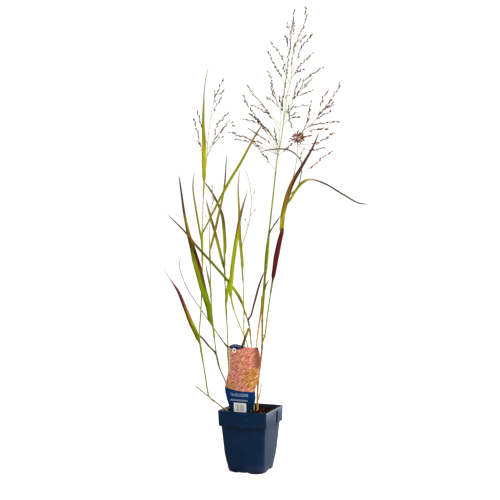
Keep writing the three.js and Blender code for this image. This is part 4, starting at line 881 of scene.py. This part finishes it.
# A leaf holds its culm with a sheath of the given length that ends at the collar's height. out
# is where its back faces, in degrees: 0 to the front, 90 to the right, turning by twist along
# the blade. The blade's points are x, y, z and the width there. Tints are given by how far
# along they are, -1 at the sheath's foot, 0 at the collar and 1 at the tip: one for the whole
# width, or two for the left and the right half.
LEAVES = {
    "a1": {
        "hold": ("a", 268, 26), "out": -20, "kind": "autumn",
        "blade": [
            [-114, -9, 281, 9.5], [-120, -14, 298, 11], [-128, -19, 316, 11], [-140, -26, 348, 8.8],
            [-154, -32, 383, 6], [-171, -36, 411, 1.8], [-188, -38, 438, 0.8],
        ],
        "tints": [
            (-1, GRASS), (0, GRASS, OLIVE), (0.17, OLIVE), (0.25, BRONZE, FRESH), (0.33, BRONZE, AMBER),
            (0.42, BROWN, AMBER), (0.5, ROSE, COPPER), (0.56, ROSE), (0.72, ROSE), (0.8, GREY),
        ],
    },
    "a2": {
        "hold": ("a", 472, 24), "out": -10, "kind": "green",
        "blade": [
            [-106, 2, 491, 4.6], [-110, -2, 512, 4.4], [-118, -8, 560, 3.8], [-124, -11, 606, 2.6],
            [-121, -12, 643, 1],
        ],
        "tints": [
            (-1, OLIVE), (0.2, OLIVE, FRESH), (0.4, OLIVE), (0.65, TAN, OLIVE), (0.8, WINE, TAN),
            (1, GREY),
        ],
    },
    "a3": {
        "hold": ("a", 508, 22), "out": 40, "twist": -35, "kind": "green",
        "blade": [
            [-90, 0, 535, 3.8], [-75, -8, 564, 4.8], [-47, -22, 615, 6], [-23, -30, 654, 5.2],
            [8, -40, 710, 3.4], [28, -44, 742, 1],
        ],
        "tints": [
            (0, OLIVE), (0.17, BRONZE, OLIVE), (0.32, OLIVE), (0.5, OLIVE, FRESH), (0.72, OLIVE),
            (0.82, BRONZE, OLIVE), (0.9, BROWN),
        ],
    },
    "a4": {
        "hold": ("a", 617, 24), "out": 0, "kind": "autumn",
        "blade": [
            [-101, 1, 640, 8], [-101, -5, 675, 9.4], [-101, -8, 705, 8.2], [-102, -12, 745, 5.6],
            [-101, -15, 780, 3.8], [-100, -17, 802, 2.6], [-97, -19, 832, 1.8], [-90, -20, 863, 1],
        ],
        "tints": [
            (-1, YELLOW), (0, YELLOW, OLIVE), (0.1, YELLOW), (0.27, YELLOW), (0.34, YELLOW, BRONZE),
            (0.45, OLIVE), (0.6, TAN, OLIVE), (0.75, GREY, TAN), (1, GREY),
        ],
    },
    "b1": {
        "hold": ("b", 243, 22), "out": 205, "kind": "autumn",
        "blade": [[-79, 7.5, 251, 4.4], [-91, 12, 263, 4], [-102, 14, 276, 3.6], [-126, 18, 300, 1.4]],
        "tints": [(0.2, SAGE), (0.34, TAN, BROWN), (0.45, DARK), (0.85, DARK), (1, BROWN)],
    },
    "b2": {
        "hold": ("b", 307, 26), "out": -15, "seam": 0.2, "kind": "autumn",
        "blade": [
            [-89, -1, 328, 11], [-90.5, -3, 345, 12.4], [-96.5, -6, 366, 13.6], [-104, -10, 393, 15.2],
            [-112.5, -13, 427, 16.6], [-120, -15, 455, 14.8], [-126.8, -17, 482, 11],
            [-134.5, -18, 511, 7.6], [-143, -20, 555, 5.2], [-150, -20, 607, 3.4], [-154, -20, 634, 1.1],
        ],
        "tints": [
            (0.15, GRASS), (0.22, FRESH, GRASS), (0.27, FRESH, MOSS), (0.34, FRESH, BROWN),
            (0.42, FRESH, MAROON), (0.49, OLIVE, DARK), (0.54, BROWN), (0.58, BROWN, BRONZE),
            (0.66, BRONZE, OLIVE), (0.7, OLIVE), (0.76, BROWN), (0.85, WINE),
        ],
    },
    "b3": {
        "hold": ("b", 385, 20), "out": -10, "kind": "green",
        "blade": [[-89, 5, 397, 3.9], [-92, 2.5, 412, 3.7], [-95, 1, 428, 2.2], [-98, -1, 446, 1]],
        "tints": [(0.6, OLIVE), (1, TAN)],
    },
    "b4": {
        "hold": ("b", 470, 24), "out": 170, "kind": "green",
        "blade": [
            [-85, 20, 487, 5], [-80, 22.5, 506, 5], [-72, 26, 542, 5], [-59, 31, 604, 3.8],
            [-53, 34, 684, 1],
        ],
        "tints": [
            (-1, OLIVE), (0, BRONZE, OLIVE), (0.15, BRONZE, OLIVE), (0.25, BROWN, BRONZE), (0.35, BRONZE),
            (0.44, BRONZE), (0.54, OLIVE, FRESH), (0.64, OLIVE), (0.74, PURPLE),
        ],
    },
    "c1": {
        "hold": ("c", 258, 22), "out": 195, "kind": "autumn",
        "blade": [
            [-59, 33, 268, 3], [-80, 32, 298, 2.2], [-108, 37, 338, 1.9], [-143, 42, 392, 1.8],
            [-158, 44, 442, 1.6], [-152, 44, 459, 1],
        ],
        "tints": [(-1, OLIVE), (0, SAGE, OLIVE), (0.1, SAGE), (0.35, SAGE, GREY), (0.5, GREY)],
    },
    "c2": {
        "hold": ("c", 350, 22), "out": 10, "kind": "green",
        "blade": [[-53, 21, 369, 6.6], [-51, 17, 387, 5.8], [-46, 14, 415, 1]],
        "tints": [(-1, OLIVE), (0, FRESH)],
    },
    "c3": {
        "hold": ("c", 427, 24), "out": 190, "kind": "green",
        "blade": [[-63, 38, 447, 5.6], [-79, 50, 508, 6], [-94, 58, 560, 4.2], [-101, 61, 588, 1]],
        "tints": [
            (-1, OLIVE), (0, FRESH, OLIVE), (0.25, OLIVE), (0.4, BRONZE, OLIVE), (0.5, MOSS),
            (0.68, MOSS, OLIVE), (1, TAN),
        ],
    },
    "c4": {
        "hold": ("c", 458, 20), "out": 180, "kind": "autumn",
        "blade": [
            [-57, 36, 480, 6.6], [-58, 38, 501, 6.8], [-62, 40, 542, 6.6], [-70, 44, 567, 5],
            [-92, 53, 608, 3.4], [-109, 57, 628, 1],
        ],
        "tints": [
            (-1, OLIVE), (0, OLIVE, FRESH), (0.15, OLIVE), (0.3, BRONZE, OLIVE), (0.4, MOSS),
            (0.52, BROWN, MOSS), (0.62, BROWN, BRONZE), (0.75, WINE), (1, BRONZE),
        ],
    },
    "d1": {
        "hold": ("d", 300, 12), "out": -20, "kind": "autumn",
        "blade": [
            [-5.5, -15.5, 305, 5], [-7, -20, 299, 5.2], [-11, -23, 288, 5.2], [-18.5, -27, 268, 5],
            [-24, -30, 252, 1.2],
        ],
        "tints": [
            (-1, TAN), (0.1, TAN, OLIVE), (0.25, BRONZE, OLIVE), (0.4, BRONZE, BROWN), (0.5, BROWN),
            (0.7, DARK, BROWN), (1, DARK),
        ],
    },
    "d2": {
        "hold": ("d", 320, 11), "out": 40, "twist": -40, "kind": "autumn",
        "blade": [
            [0.5, -14, 331, 4.4], [4.5, -18, 347, 4.2], [10, -22, 368, 4.4], [17.2, -25, 395, 4],
            [29, -29, 428, 2.2],
        ],
        "tints": [
            (-1, OLIVE, BROWN), (0.15, WINE), (0.3, PURPLE, WINE), (0.7, PURPLE, WINE),
            (0.9, BROWN, WINE), (1, BROWN),
        ],
    },
    "d3": {
        "hold": ("d", 350, 20), "out": -15, "kind": "green",
        "blade": [
            [-23.5, -12.5, 368, 6.6], [-45, -14, 400, 5.8], [-78, -20, 439, 5.2], [-117, -32, 482, 4.8],
            [-140, -38, 511, 3.4], [-177, -44, 548, 1],
        ],
        "tints": [
            (0.02, OLIVE), (0.09, MOSS, OLIVE), (0.16, FRESH), (0.22, FRESH), (0.3, MOSS, GRASS),
            (0.45, MOSS, GRASS), (0.56, MOSS), (0.67, OLIVE, BROWN), (0.76, BROWN, COPPER), (0.85, DARK),
            (1, WINE),
        ],
    },
    "e1": {
        "hold": ("e", 366, 24), "out": -15, "kind": "autumn",
        "blade": [
            [25, 3, 373, 2.4], [23.5, 0, 367, 3.2], [23, -1.5, 350, 3.7], [21.3, -1.8, 336, 3.6],
            [18, -2.5, 313, 3.4], [14, -4, 285, 3.2], [8, -8, 236, 1],
        ],
        "tints": [
            (-1, OLIVE), (0, BRONZE, OLIVE), (0.12, OLIVE, BRONZE), (0.2, OLIVE, BRONZE), (0.27, BRONZE),
            (0.36, AMBER, BRONZE), (0.5, STRAW, AMBER), (0.7, STRAW), (1, AMBER, BROWN),
        ],
    },
    "e2": {
        "hold": ("e", 506, 86), "loose": 1.9, "out": 75, "twist": -60, "kind": "autumn",
        "blade": [[47, 14.5, 520, 3.4], [56, 12.5, 533, 3.2], [65, 9, 547, 2]],
        "tints": [
            (-1, OLIVE), (-0.25, GRASS, OLIVE), (-0.05, OLIVE, BROWN), (0.15, BROWN, DARK), (0.6, DARK),
            (1, BROWN),
        ],
    },
    "h1": {
        "hold": ("side", 405, 24), "out": 0, "point": 3, "kind": "autumn",
        "blade": [
            [49.5, -19, 427, 8.8], [53.8, -24, 455, 10.9], [60.8, -30, 491, 9.6], [65.3, -32.5, 508, 8.2],
            [67.3, -34, 519, 6],
        ],
        "tints": [
            (-1, SAGE), (-0.3, SAGE, OLIVE), (0, BROWN, MOSS), (0.05, MAROON), (0.15, MAROON, CRIMSON),
            (0.35, CRIMSON), (0.85, CRIMSON), (0.93, BROWN, MAROON), (1, BROWN),
        ],
    },
    "h2": {
        "hold": ("side", 505, 30), "out": 0, "kind": "autumn",
        "blade": [
            [65.3, -27.5, 520, 8.8], [67.8, -30.5, 546, 9.6], [73.2, -36, 571, 10], [78.2, -40, 589, 10],
            [86.6, -45, 611, 8.4], [102, -52, 639, 6.6], [127, -59, 682, 3.9], [143, -62, 719, 1.2],
        ],
        "tints": [
            (-1, YELLOW), (0.04, YELLOW, OLIVE), (0.12, YELLOW, BRONZE), (0.17, BRONZE, YELLOW),
            (0.26, BRONZE), (0.34, BRONZE, COPPER), (0.43, COPPER, BROWN), (0.5, COPPER, MAROON),
            (0.62, WINE), (0.75, WINE, DARK), (1, WINE),
        ],
    },
    "h3": {
        "hold": ("side", 566, 10), "out": 50, "twist": -46, "kind": "green",
        "blade": [
            [85, -33, 580, 6.8], [94, -34, 595, 6.6], [108, -33, 613, 6.6], [125, -31, 621, 4],
            [156, -25, 613, 3.2], [194, -16, 592, 3.2], [232, -8, 572, 2.4], [256, -4, 570, 1],
        ],
        "tints": [
            (-1, OLIVE), (0.04, BRONZE, OLIVE), (0.12, OLIVE, FRESH), (0.24, MOSS, OLIVE), (0.3, OLIVE),
            (0.35, GREY), (0.4, TAN), (0.46, DARK),
        ],
    },
    "h4": {
        "hold": ("side", 581, 10), "out": 125, "kind": "autumn",
        "blade": [
            [87, -20, 592, 4.2], [100, -13, 606, 2.6], [109, -7, 643, 2.6], [107, -6, 664, 2.6],
            [82, -4, 686, 2.6], [41, -4, 687, 2.4], [13, -6, 679, 1],
        ],
        "tints": [
            (-1, OLIVE), (0.08, BRONZE), (0.2, WINE, MAROON), (0.42, MAROON, WINE), (0.55, BROWN, WINE),
            (0.8, BROWN, MOSS), (1, MOSS, BROWN),
        ],
    },
    "f1": {
        "hold": ("f", 426, 22), "out": 185, "kind": "green",
        "blade": [
            [-19, 27, 445, 6], [-24, 33, 498, 6], [-26, 39, 559, 4.6], [-28, 43, 610, 2.8],
            [-25, 48, 651, 1],
        ],
        "tints": [
            (-1, OLIVE), (0.05, GRASS, OLIVE), (0.2, OLIVE, FRESH), (0.3, OLIVE), (0.38, BRONZE),
            (0.55, TAN, BRONZE), (0.7, TAN, OLIVE), (1, TAN),
        ],
    },
    "g1": {
        "hold": ("g", 366, 22), "out": 0, "kind": "green",
        "blade": [
            [-43.5, -27, 386, 7.8], [-41.5, -28, 407, 8.4], [-37.5, -26, 450, 8.2], [-31, -21, 493, 8],
            [-21, -13, 551, 5], [-6, -7, 602, 1.2],
        ],
        "tints": [
            (0.12, FRESH), (0.24, OLIVE, FRESH), (0.4, FRESH, OLIVE), (0.52, OLIVE, FRESH),
            (0.6, BRONZE, OLIVE), (0.68, BROWN, BRONZE), (0.8, BRONZE, WINE), (1, GREY),
        ],
    },
}


def facing_out(degrees):
    """The level directions at the given angles from the front, towards the right."""
    a = np.radians(degrees)
    return np.stack([np.sin(a), -np.cos(a), 0 * a], -1)


def leaf_part(hold, out, blade, tints, twist=0, loose=0, point=14, seam=0, **_):
    """A leaf as one thin loft. Each row across it is an arc round a centre that lies behind
    the midrib by the arc's radius: on the sheath the centre is the culm's own middle; past the
    collar the arc's half angle and its length ease to the blade's trough and width. The
    midrib is pressed out by a narrow bell curve and the edges of wide blades rise and fall
    along sines. Returns points, faces, tints and (across, along) in millimetres."""
    culm, collar, sheath = hold
    axis, radii = axes[culm]
    z = np.linspace(collar - sheath, collar, SHEATH_ROWS)
    middle = between(z, axis[:, 2], axis)
    girth = np.interp(z, axis[:, 2], radii) + SHEATH_PLAY + THICK_FOOT / 2
    girth += loose * np.sin(np.linspace(LOOSE_FROM, 1, SHEATH_ROWS) * math.pi)
    outward = square_to(facing_out(np.full(SHEATH_ROWS, out)), slopes(middle))
    start = middle[-1] + outward[-1] * girth[-1]
    knots = np.vstack([[*start, blade[0][3]], blade])
    fine = smooth_path(knots, round(lengths(knots).sum() / BLADE_STEP) + 1)[1:]
    midrib, wide = np.vstack([start, fine[:, :3]]), fine[:, 3]
    run = np.cumsum(lengths(midrib))
    share = run / run[-1]
    opened = ease(run, 0, OPENING)
    tip = 1 - TIP_NARROWS * ease(run, run[-1] - point, run[-1])
    width = np.maximum(wide + WIDTH_PLUS, WIDTH_LEAST) * tip
    half = SHEATH_HALF_ANGLE + (BLADE_HALF_ANGLE - SHEATH_HALF_ANGLE) * opened
    chord = BLADE_HALF_ANGLE / math.sin(BLADE_HALF_ANGLE)
    arc = 2 * SHEATH_HALF_ANGLE * girth[-1] * (1 - opened) + width * chord * opened
    radius = arc / (2 * half)
    back = square_to(facing_out(out + twist * share), slopes(midrib)[1:])

    # The sheath's rows and the blade's as one.
    centre = np.vstack([middle, midrib[1:] - back * radius[:, None]])
    along = np.vstack([slopes(middle), slopes(midrib)[1:]])
    outward = np.vstack([outward, back])
    side = np.cross(along, outward)
    radius = np.concatenate([girth, radius])
    half = np.concatenate([np.full(SHEATH_ROWS, SHEATH_HALF_ANGLE), half])
    place = np.concatenate([np.linspace(-1, 0, SHEATH_ROWS), share])
    run = np.concatenate([np.linspace(-sheath, 0, SHEATH_ROWS), run])
    width = np.concatenate([np.full(SHEATH_ROWS, 2 * SHEATH_HALF_ANGLE * girth[0]), arc])
    thick = THICK_FOOT + (THICK_TIP - THICK_FOOT) * ease(place, 0, 1)
    thick[0] *= 0.5
    u = np.linspace(-1, 1, BLADE_COLUMNS)
    free = ease(place, WAVY_FROM, WAVY_AT)[:, None]
    swing = np.sin(run[:, None] / WAVE_LENGTH + WAVE_OFFSET * np.sign(u) + collar)
    wave = WAVE_SHARE * width[:, None] * u**2 * swing
    crease = CREASE_SHARE * width[:, None] * np.exp(-((u / CREASE_WIDTH) ** 2))
    height = radius[:, None] + free * (wave + crease)
    angle = half[:, None] * u
    shift = thick[:, None] / 2 * (1 - EDGE_THINS * u**4)

    def face(reach):
        """Points round the centres at a reach, from the left edge to the right."""
        forward, aside = (reach * np.cos(angle))[..., None], (reach * np.sin(angle))[..., None]
        return centre[:, None] + (outward[:, None] * forward + side[:, None] * aside)

    rings = np.concatenate([face(height + shift), face(height - shift)[:, ::-1]], axis=1)
    stops = [t[0] for t in tints]
    left, right = (between(place, stops, [t[k] for t in tints]) for k in (1, -1))
    mix = ease(u, seam - SEAM_HALF, seam + SEAM_HALF)[None, :, None]
    colours = left[:, None] * (1 - mix) + right[:, None] * mix
    colours = np.concatenate([colours, colours[:, ::-1]], axis=1).reshape(-1, 3)
    uv = np.stack(np.broadcast_arrays(width[:, None] / 2 * u, run[:, None]), -1)
    uv = np.concatenate([uv, uv[:, ::-1]], axis=1).reshape(-1, 2)
    return *loft(rings), colours, uv


def leaf_finish(name, speckle, gloss, fresh):
    """Grass blade: fine parallel veins and long fibres that follow the blade, blotches and
    brown specks, over the leaf's own tints. Across and along come in millimetres."""
    made, shade = finish_of(name)
    u, v, _ = shade.parts(shade.node("ShaderNodeUVMap", {"uv_map": "blade"}))
    veins = (u * 7.4).sine() * 0.5 + 0.5
    scales = ((2.6, 0.035, 3), (0.22, 0.045, 3), (1.3, 0.5, 2))
    fibres, blotch, specks = (shade.flat_noise(u * a, v * b, detail) for a, b, detail in scales)
    colour = shade.layered(
        shade.own_tint(),
        (fibres.ramp(0.5, 0.75) * fresh, (186, 180, 20)),
        (fibres.ramp(0.5, 0.28) * 0.3, (70, 58, 16)),
        (blotch.ramp(0.56, 0.74) * speckle, (122, 62, 34)),
        (specks.ramp(0.66, 0.76) * speckle, (70, 40, 28)),
        (veins * 0.1, (60, 60, 12)),
        (u.size().ramp(0.55, 0.1) * fresh, (150, 144, 24)),
    )
    ribs = shade.bumps(0.5, 0.0002, veins + fibres)
    shade.surface(colour, gloss + blotch * 0.2, 0.06, Normal=ribs)
    return made


finishes = {
    "green": leaf_finish("green_blade", 0.22, 0.36, 0.17),
    "autumn": leaf_finish("autumn_blade", 0.26, 0.44, 0.07),
}
for name, shape in LEAVES.items():
    points, faces, colours, uv = leaf_part(**shape)
    leaf = mesh_object("blade_" + name, turned(points, PLANT_TURN), faces, finishes[shape["kind"]])
    tint(leaf, colours)
    corner_of = np.zeros(len(leaf.data.loops), int)
    leaf.data.loops.foreach_get("vertex_index", corner_of)
    held = leaf.data.uv_layers.new(name="blade")
    held.uv.foreach_set("vector", uv[corner_of].astype(np.float32).ravel())
    leaf.data.set_sharp_from_angle(angle=math.radians(LEAF_EDGE_ANGLE))
    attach(leaf, "root")
    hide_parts("leaf_" + name)

# ---------------------------------------------------------------- seed heads
# Open panicles: a thin axis on each culm's tip, hair-thin branches that leave it in loose
# whorls, and along their outer parts small pointed spikelets on short stalks.
BRANCH_FOOT, BRANCH_TIP, STALK_RADIUS = 0.64, 0.42, 0.3
MAIN_STEPS, MAIN_SIDES, BRANCH_STEPS, BRANCH_SIDES = 90, 8, 28, 6
SPIKELET_LENGTH, SPIKELET_RADIUS, SPIKELET_SPACING, SPIKELET_SPOTS = 7.9, 1.42, 4.7, 90
BARE, START_GAP, MAIN_BEND, BRANCH_BEND, STALK_OVERLAP = 0.3, 0.1, 1.2, 1.5, 0.4
# The forms of a spikelet and a stalk as (radius, height), with their numbers of sides.
SPIKELET_SIDES, SPIKELET_FORM = 6, [(0.45, 0.1), (1, 0.42), (0.62, 0.74)]
STALK_SIDES, STALK_FORM = 3, [(1, 0.02), (1, 0.98)]
# Lowest and highest of what is drawn for each spikelet: its lean in degrees, its stalk's
# length, and its share of the usual spacing, length, girth and colour.
LEANS, STALKS, FLATNESS = (3, 24), (0.4, 5), 0.8
SPACING_SPREAD, LENGTH_SPREAD = (0.55, 1.45), (0.8, 1.2)
GIRTH_SPREAD, SHADE_SPREAD = (0.75, 1.15), (0.74, 1.06)
TUFT_TINT = np.array([40, 26, 10])
# The rachis is the axis over the culm. Each branch starts at the nearest point of the head so
# far; the first branch of e is the second strand of its axis. Husk lists the spikelets'
# colours, and straw the strands' at foot and tip. Dense is how close the spikelets sit, and
# bare_axis the share of the axis without them. A tuft is its middle, radius and number.
HEADS = {
    "a": {
        "culm": "a", "seed": 3, "husk": [(88, 74, 64), (108, 88, 68), (70, 54, 46)],
        "straw": [(150, 146, 104), (176, 166, 150)],
        "rachis": [[-95, 12, 675], [-94, 14, 702], [-87, 20, 762], [-77, 25, 807], [-59, 30, 849]],
        "branches": [
            [[-89, 22, 755], [-81, 31, 776], [-65, 48, 810]],
            [[-75, 26, 811], [-66, 15, 812], [-58, 4, 819]],
            [[-94, 16, 691], [-83, 7, 699], [-74, -2, 737], [-47, -20, 765]],
            [[-96, 15, 673], [-84, 31, 704], [-65, 46, 737], [-49, 62, 760]],
            [[-55, 52, 751], [-47, 61, 756], [-36, 70, 747]],
            [[-95, 15, 676], [-80, 8, 701], [-62, 2, 717]],
            [[-98, 14, 654], [-109, 25, 694], [-115, 35, 716], [-125, 46, 763]],
            [[-94, 18, 698], [-103, 22, 726], [-118, 30, 775]],
            [[-82, 24, 788], [-79, 12, 805], [-77, 2, 816]],
        ],
    },
    "b": {
        "culm": "b", "seed": 5, "husk": [(136, 122, 116), (156, 142, 128)], "dense": 0.6,
        "straw": [(150, 146, 110), (176, 164, 140)],
        "rachis": [[-89, 18, 532], [-84, 21, 583], [-84, 22, 609]],
        "branches": [
            [[-89, 18, 532], [-95, 24, 541], [-100, 30, 548]],
            [[-85, 20, 569], [-81, 14, 578], [-79, 8, 586]],
        ],
    },
    "e": {
        "culm": "e", "seed": 7,
        "husk": [(66, 44, 42), (84, 54, 42), (104, 66, 42), (56, 38, 36), (128, 92, 56)], "dense": 1.15,
        "bare_axis": 0.62, "straw": [(150, 166, 96), (188, 168, 150)],
        "rachis": [
            [58, 22, 674], [64, 23, 700], [72, 25, 755], [78, 26, 801], [89, 28, 855], [90, 29, 884],
            [101, 31, 931], [118, 32, 970], [121, 34, 1007],
        ],
        "branches": [
            [[60, 24, 684], [62, 30, 705], [67, 37, 774], [79, 43, 864], [90, 50, 953], [97, 58, 1008]],
            [[54.5, 21, 645], [46, 31, 656], [23, 38, 688], [10, 46, 704]],
            [[64, 31, 740], [38, 20, 773], [4, -1, 810], [-8, -12, 824]],
            [[58, 24, 681], [38, 36, 724], [-8, 58, 796], [-17, 70, 819]],
            [[64, 31, 734], [44, 25, 763], [22, 20, 777], [2, 8, 786]],
            [[63, 28, 712], [38, 42, 736], [15, 55, 754], [-18, 82, 766]],
            [[60, 25, 694], [42, 30, 728], [18, 34, 753], [-5, 44, 773]],
            [[58, 22, 680], [45, 15, 699], [8, 1, 725], [-5, -6, 733]],
            [[58, 23, 678], [37, 32, 699], [9, 42, 712], [-49, 60, 734]],
            [[56, 24, 680], [29, 26, 693], [2, 29, 706], [-35, 34, 716]],
            [[67, 38, 771], [61, 23, 782], [33, -8, 801]], [[68, 40, 775], [59, 55, 799], [43, 84, 840]],
            [[72, 26, 753], [69, 9, 774], [60, -26, 797]], [[59, 22, 681], [56, 3, 700], [50, -34, 731]],
            [[59, 24, 681], [51, 48, 715], [32, 96, 750]], [[79, 45, 867], [68, 54, 900], [44, 72, 939]],
            [[79, 30, 815], [68, 22, 844], [36, -4, 899]], [[70, 44, 800], [56, 61, 817], [40, 96, 878]],
            [[83, 31, 837], [73, 4, 858], [70, -22, 866]], [[70, 42, 798], [77, 67, 812], [88, 92, 824]],
            [[74, 27, 771], [92, 10, 800], [97, -7, 821], [108, -24, 834]],
            [[73, 26, 760], [101, 16, 810], [119, 12, 842], [156, 2, 866]],
            [[101, 12, 809], [110, 3, 818], [127, -14, 837]],
            [[77, 29, 795], [95, 50, 810], [141, 92, 833]],
            [[72, 26, 753], [89, 39, 782], [126, 66, 796]],
            [[70, 25, 742], [80, 8, 753], [104, -26, 755]],
            [[75, 28, 778], [87, 63, 771], [104, 98, 783]],
            [[89, 32, 855], [100, 21, 888], [110, 9, 910], [133, -2, 936]],
            [[98, 34, 915], [112, 49, 937], [121, 64, 952]],
            [[84, 31, 839], [98, 49, 867], [142, 86, 918]],
            [[87, 31, 850], [99, 8, 855], [115, -16, 858]], [[84, 48, 903], [80, 68, 940], [77, 88, 956]],
            [[89, 52, 946], [83, 38, 960], [80, 24, 967]], [[88, 50, 932], [93, 65, 953], [98, 80, 985]],
            [[59, 22, 678], [71, 18, 685], [89, 12, 703]],
        ],
    },
    "f": {
        "culm": "f", "seed": 9, "husk": [(140, 130, 124), (160, 150, 140)], "dense": 0.45,
        "axis_tip": 0.62, "bare_axis": 1, "straw": [(136, 142, 84), (140, 150, 104)],
        "rachis": [
            [-12, 24, 503], [-6, 24, 524], [-1, 24, 552], [1, 24, 583], [-4, 24, 622], [-11, 24, 646],
        ],
        "branches": [
            [[-6, 24, 524], [-10, 20, 532], [-12, 16, 542]], [[-1, 24, 547], [5, 19, 552], [8, 15, 560]],
            [[0, 24, 583], [5, 29, 591], [7, 33, 600]],
        ],
    },
    "side": {
        "culm": "side", "seed": 11, "husk": [(90, 48, 40), (120, 64, 46), (74, 42, 38), (106, 56, 44)],
        "tuft": ((100, -34, 708), 7, 60), "dense": 1.15, "bare_axis": 0.4,
        "straw": [(150, 150, 100), (190, 160, 140)],
        "rachis": [
            [96, -33, 657], [99, -34, 687], [99, -31, 702], [104, -28, 714], [119, -25, 732],
            [164, -19, 743], [191, -16, 746],
        ],
        "branches": [
            [[92, -31, 632], [108, -26, 636], [122, -22, 644], [145, -17, 662], [173, -12, 683]],
            [[95, -33, 655], [104, -24, 668], [113, -14, 689]],
            [[112, -31, 725], [130, -36, 740], [170, -47, 790], [187, -52, 818]],
            [[141, -38, 754], [151, -29, 788], [163, -20, 811]],
            [[141, -38, 754], [162, -56, 770], [171, -74, 776]],
            [[118, -30, 732], [143, -13, 753], [177, 22, 776]],
            [[99, -34, 705], [114, -26, 710], [132, -18, 716]],
            [[106, -32, 715], [122, -11, 726], [170, 30, 738]],
            [[108, -31, 719], [118, -41, 739], [125, -62, 779]],
            [[99, -34, 693], [122, -24, 684], [160, 2, 692]],
            [[99, -34, 695], [121, -26, 696], [143, -18, 701], [183, -2, 724]],
            [[99, -34, 704], [91, -42, 721], [82, -50, 740], [77, -66, 771]],
            [[99, -34, 700], [89, -40, 705], [82, -46, 699]],
            [[99, -34, 702], [105, -41, 705], [112, -48, 701]],
            [[99, -34, 697], [96, -25, 705], [89, -16, 715]],
            [[99, -34, 704], [97, -43, 715], [100, -52, 723]],
        ],
    },
}


def twig(path, foot, tip, bend, sides, colours, reference=(1, 0, 0)):
    """A tapering strand, whose radius falls from foot to tip by a power of what is left."""
    left = 1 - np.linspace(0, 1, len(path))
    points, faces = loft(tube(path, tip + (foot - tip) * left**bend, sides, reference))
    return points, faces, np.repeat(colours, sides, axis=0)


def panicle(
    culm, seed, rachis, branches, husk, straw, dense=1.0, tuft=None, axis_tip=0.36, bare_axis=0.72
):
    """A seed head. Along each branch, past its bare share, spikelets sit at seeded distances;
    each stalk leaves at a lean from the branch, round it by a seeded angle, and the spikelet
    points on along it. A tuft is a ball of spikelets that point away from its middle. All
    spikelets are copies of one bead, turned and stretched."""
    draw = np.random.default_rng(seed)
    axis, radii = axes[culm]
    start = axis[-1] + slopes(axis)[-1] * START_GAP
    main = smooth_path([start, *rachis], MAIN_STEPS)
    colours = by_height([(start[2], straw[0]), (main[-1, 2], straw[1])], main[:, 2])
    lines = [main]
    parts = [twig(main, radii[-1], axis_tip, MAIN_BEND, MAIN_SIDES, colours)]
    roots, ways = [], []

    def sown(path, bare):
        """Notes where spikelets leave a path and its direction there."""
        reach = lengths(path).sum()
        steps = draw.uniform(*SPACING_SPREAD, SPIKELET_SPOTS) * SPIKELET_SPACING / dense
        spots = reach - SPIKELET_LENGTH - np.concatenate([[0], np.cumsum(steps)])
        share = spots[spots > bare * reach] / reach
        grid = np.linspace(0, 1, len(path))
        roots.append(between(share, grid, path))
        ways.append(between(share, grid, slopes(path)))

    sown(main, bare_axis)
    fade = np.linspace(0, 1, BRANCH_STEPS)[:, None]
    colours = np.array(straw[0]) * (1 - fade) + np.array(straw[1]) * fade
    for knots in branches:
        spots = np.vstack(lines)
        first = spots[np.linalg.norm(spots - knots[0], axis=1).argmin()]
        path = smooth_path([first, *knots[1:]], BRANCH_STEPS)
        lines.append(path)
        chord = path[-1] - path[0]
        reference = (0, 1, 0) if abs(chord[1]) < 0.7 * np.linalg.norm(chord) else (1, 0, 0)
        parts.append(twig(path, BRANCH_FOOT, BRANCH_TIP, BRANCH_BEND, BRANCH_SIDES, colours, reference))
        sown(path, BARE)
    if tuft:
        middle, spread, many = tuft
        burst = draw.normal(size=(many, 3))
        burst /= np.linalg.norm(burst, axis=1, keepdims=True)
        roots.append(middle + burst * spread * draw.uniform(0, 1, (many, 1)))
        ways.append(burst)
    root, way = np.vstack(roots), np.vstack(ways)
    count = len(root)
    way /= np.linalg.norm(way, axis=1, keepdims=True)
    any_side = square_to(draw.normal(size=(count, 3)), way)
    lean = np.radians(draw.uniform(*LEANS, (count, 1)))
    aim = way * np.cos(lean) + any_side * np.sin(lean)
    stalk = draw.uniform(*STALKS, (count, 1))
    across = square_to(draw.normal(size=(count, 3)), aim)
    turns = np.stack([across, np.cross(aim, across), aim], -1)
    length = SPIKELET_LENGTH * draw.uniform(*LENGTH_SPREAD, count)
    girth = SPIKELET_RADIUS * draw.uniform(*GIRTH_SPREAD, count)
    kinds = np.array(husk)[draw.choice(len(husk), count)] * draw.uniform(*SHADE_SPREAD, (count, 1))
    if tuft:
        kinds[-many:] += TUFT_TINT
    scales = np.stack([girth, girth * FLATNESS, length], -1)
    parts.append(scattered(bead(SPIKELET_SIDES, SPIKELET_FORM), scales, root + aim * stalk, turns, kinds))
    scales = np.concatenate([np.full((count, 2), STALK_RADIUS), stalk + STALK_OVERLAP], -1)
    dyes = np.tile(straw[1], (count, 1))
    parts.append(scattered(bead(STALK_SIDES, STALK_FORM), scales, root, turns, dyes))
    return gather(parts)


chaff, shade = finish_of("seed_husk")
grain = shade.noise(shade.place(), 900, 3)
colour = shade.layered(shade.own_tint(), (grain.ramp(0.55, 0.75) * 0.15, (190, 160, 124)))
husks = shade.bumps(0.4, 0.0002, grain)
shade.surface(colour, 0.6 + grain * 0.25, 0.1, Normal=husks)
for name, shape in HEADS.items():
    points, faces, colours = panicle(**shape)
    head = mesh_object("panicle_" + name, turned(points, PLANT_TURN), faces, chaff)
    tint(head, np.clip(colours, 0, 255))
    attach(head, "root")
    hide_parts("seed_head_" + name)
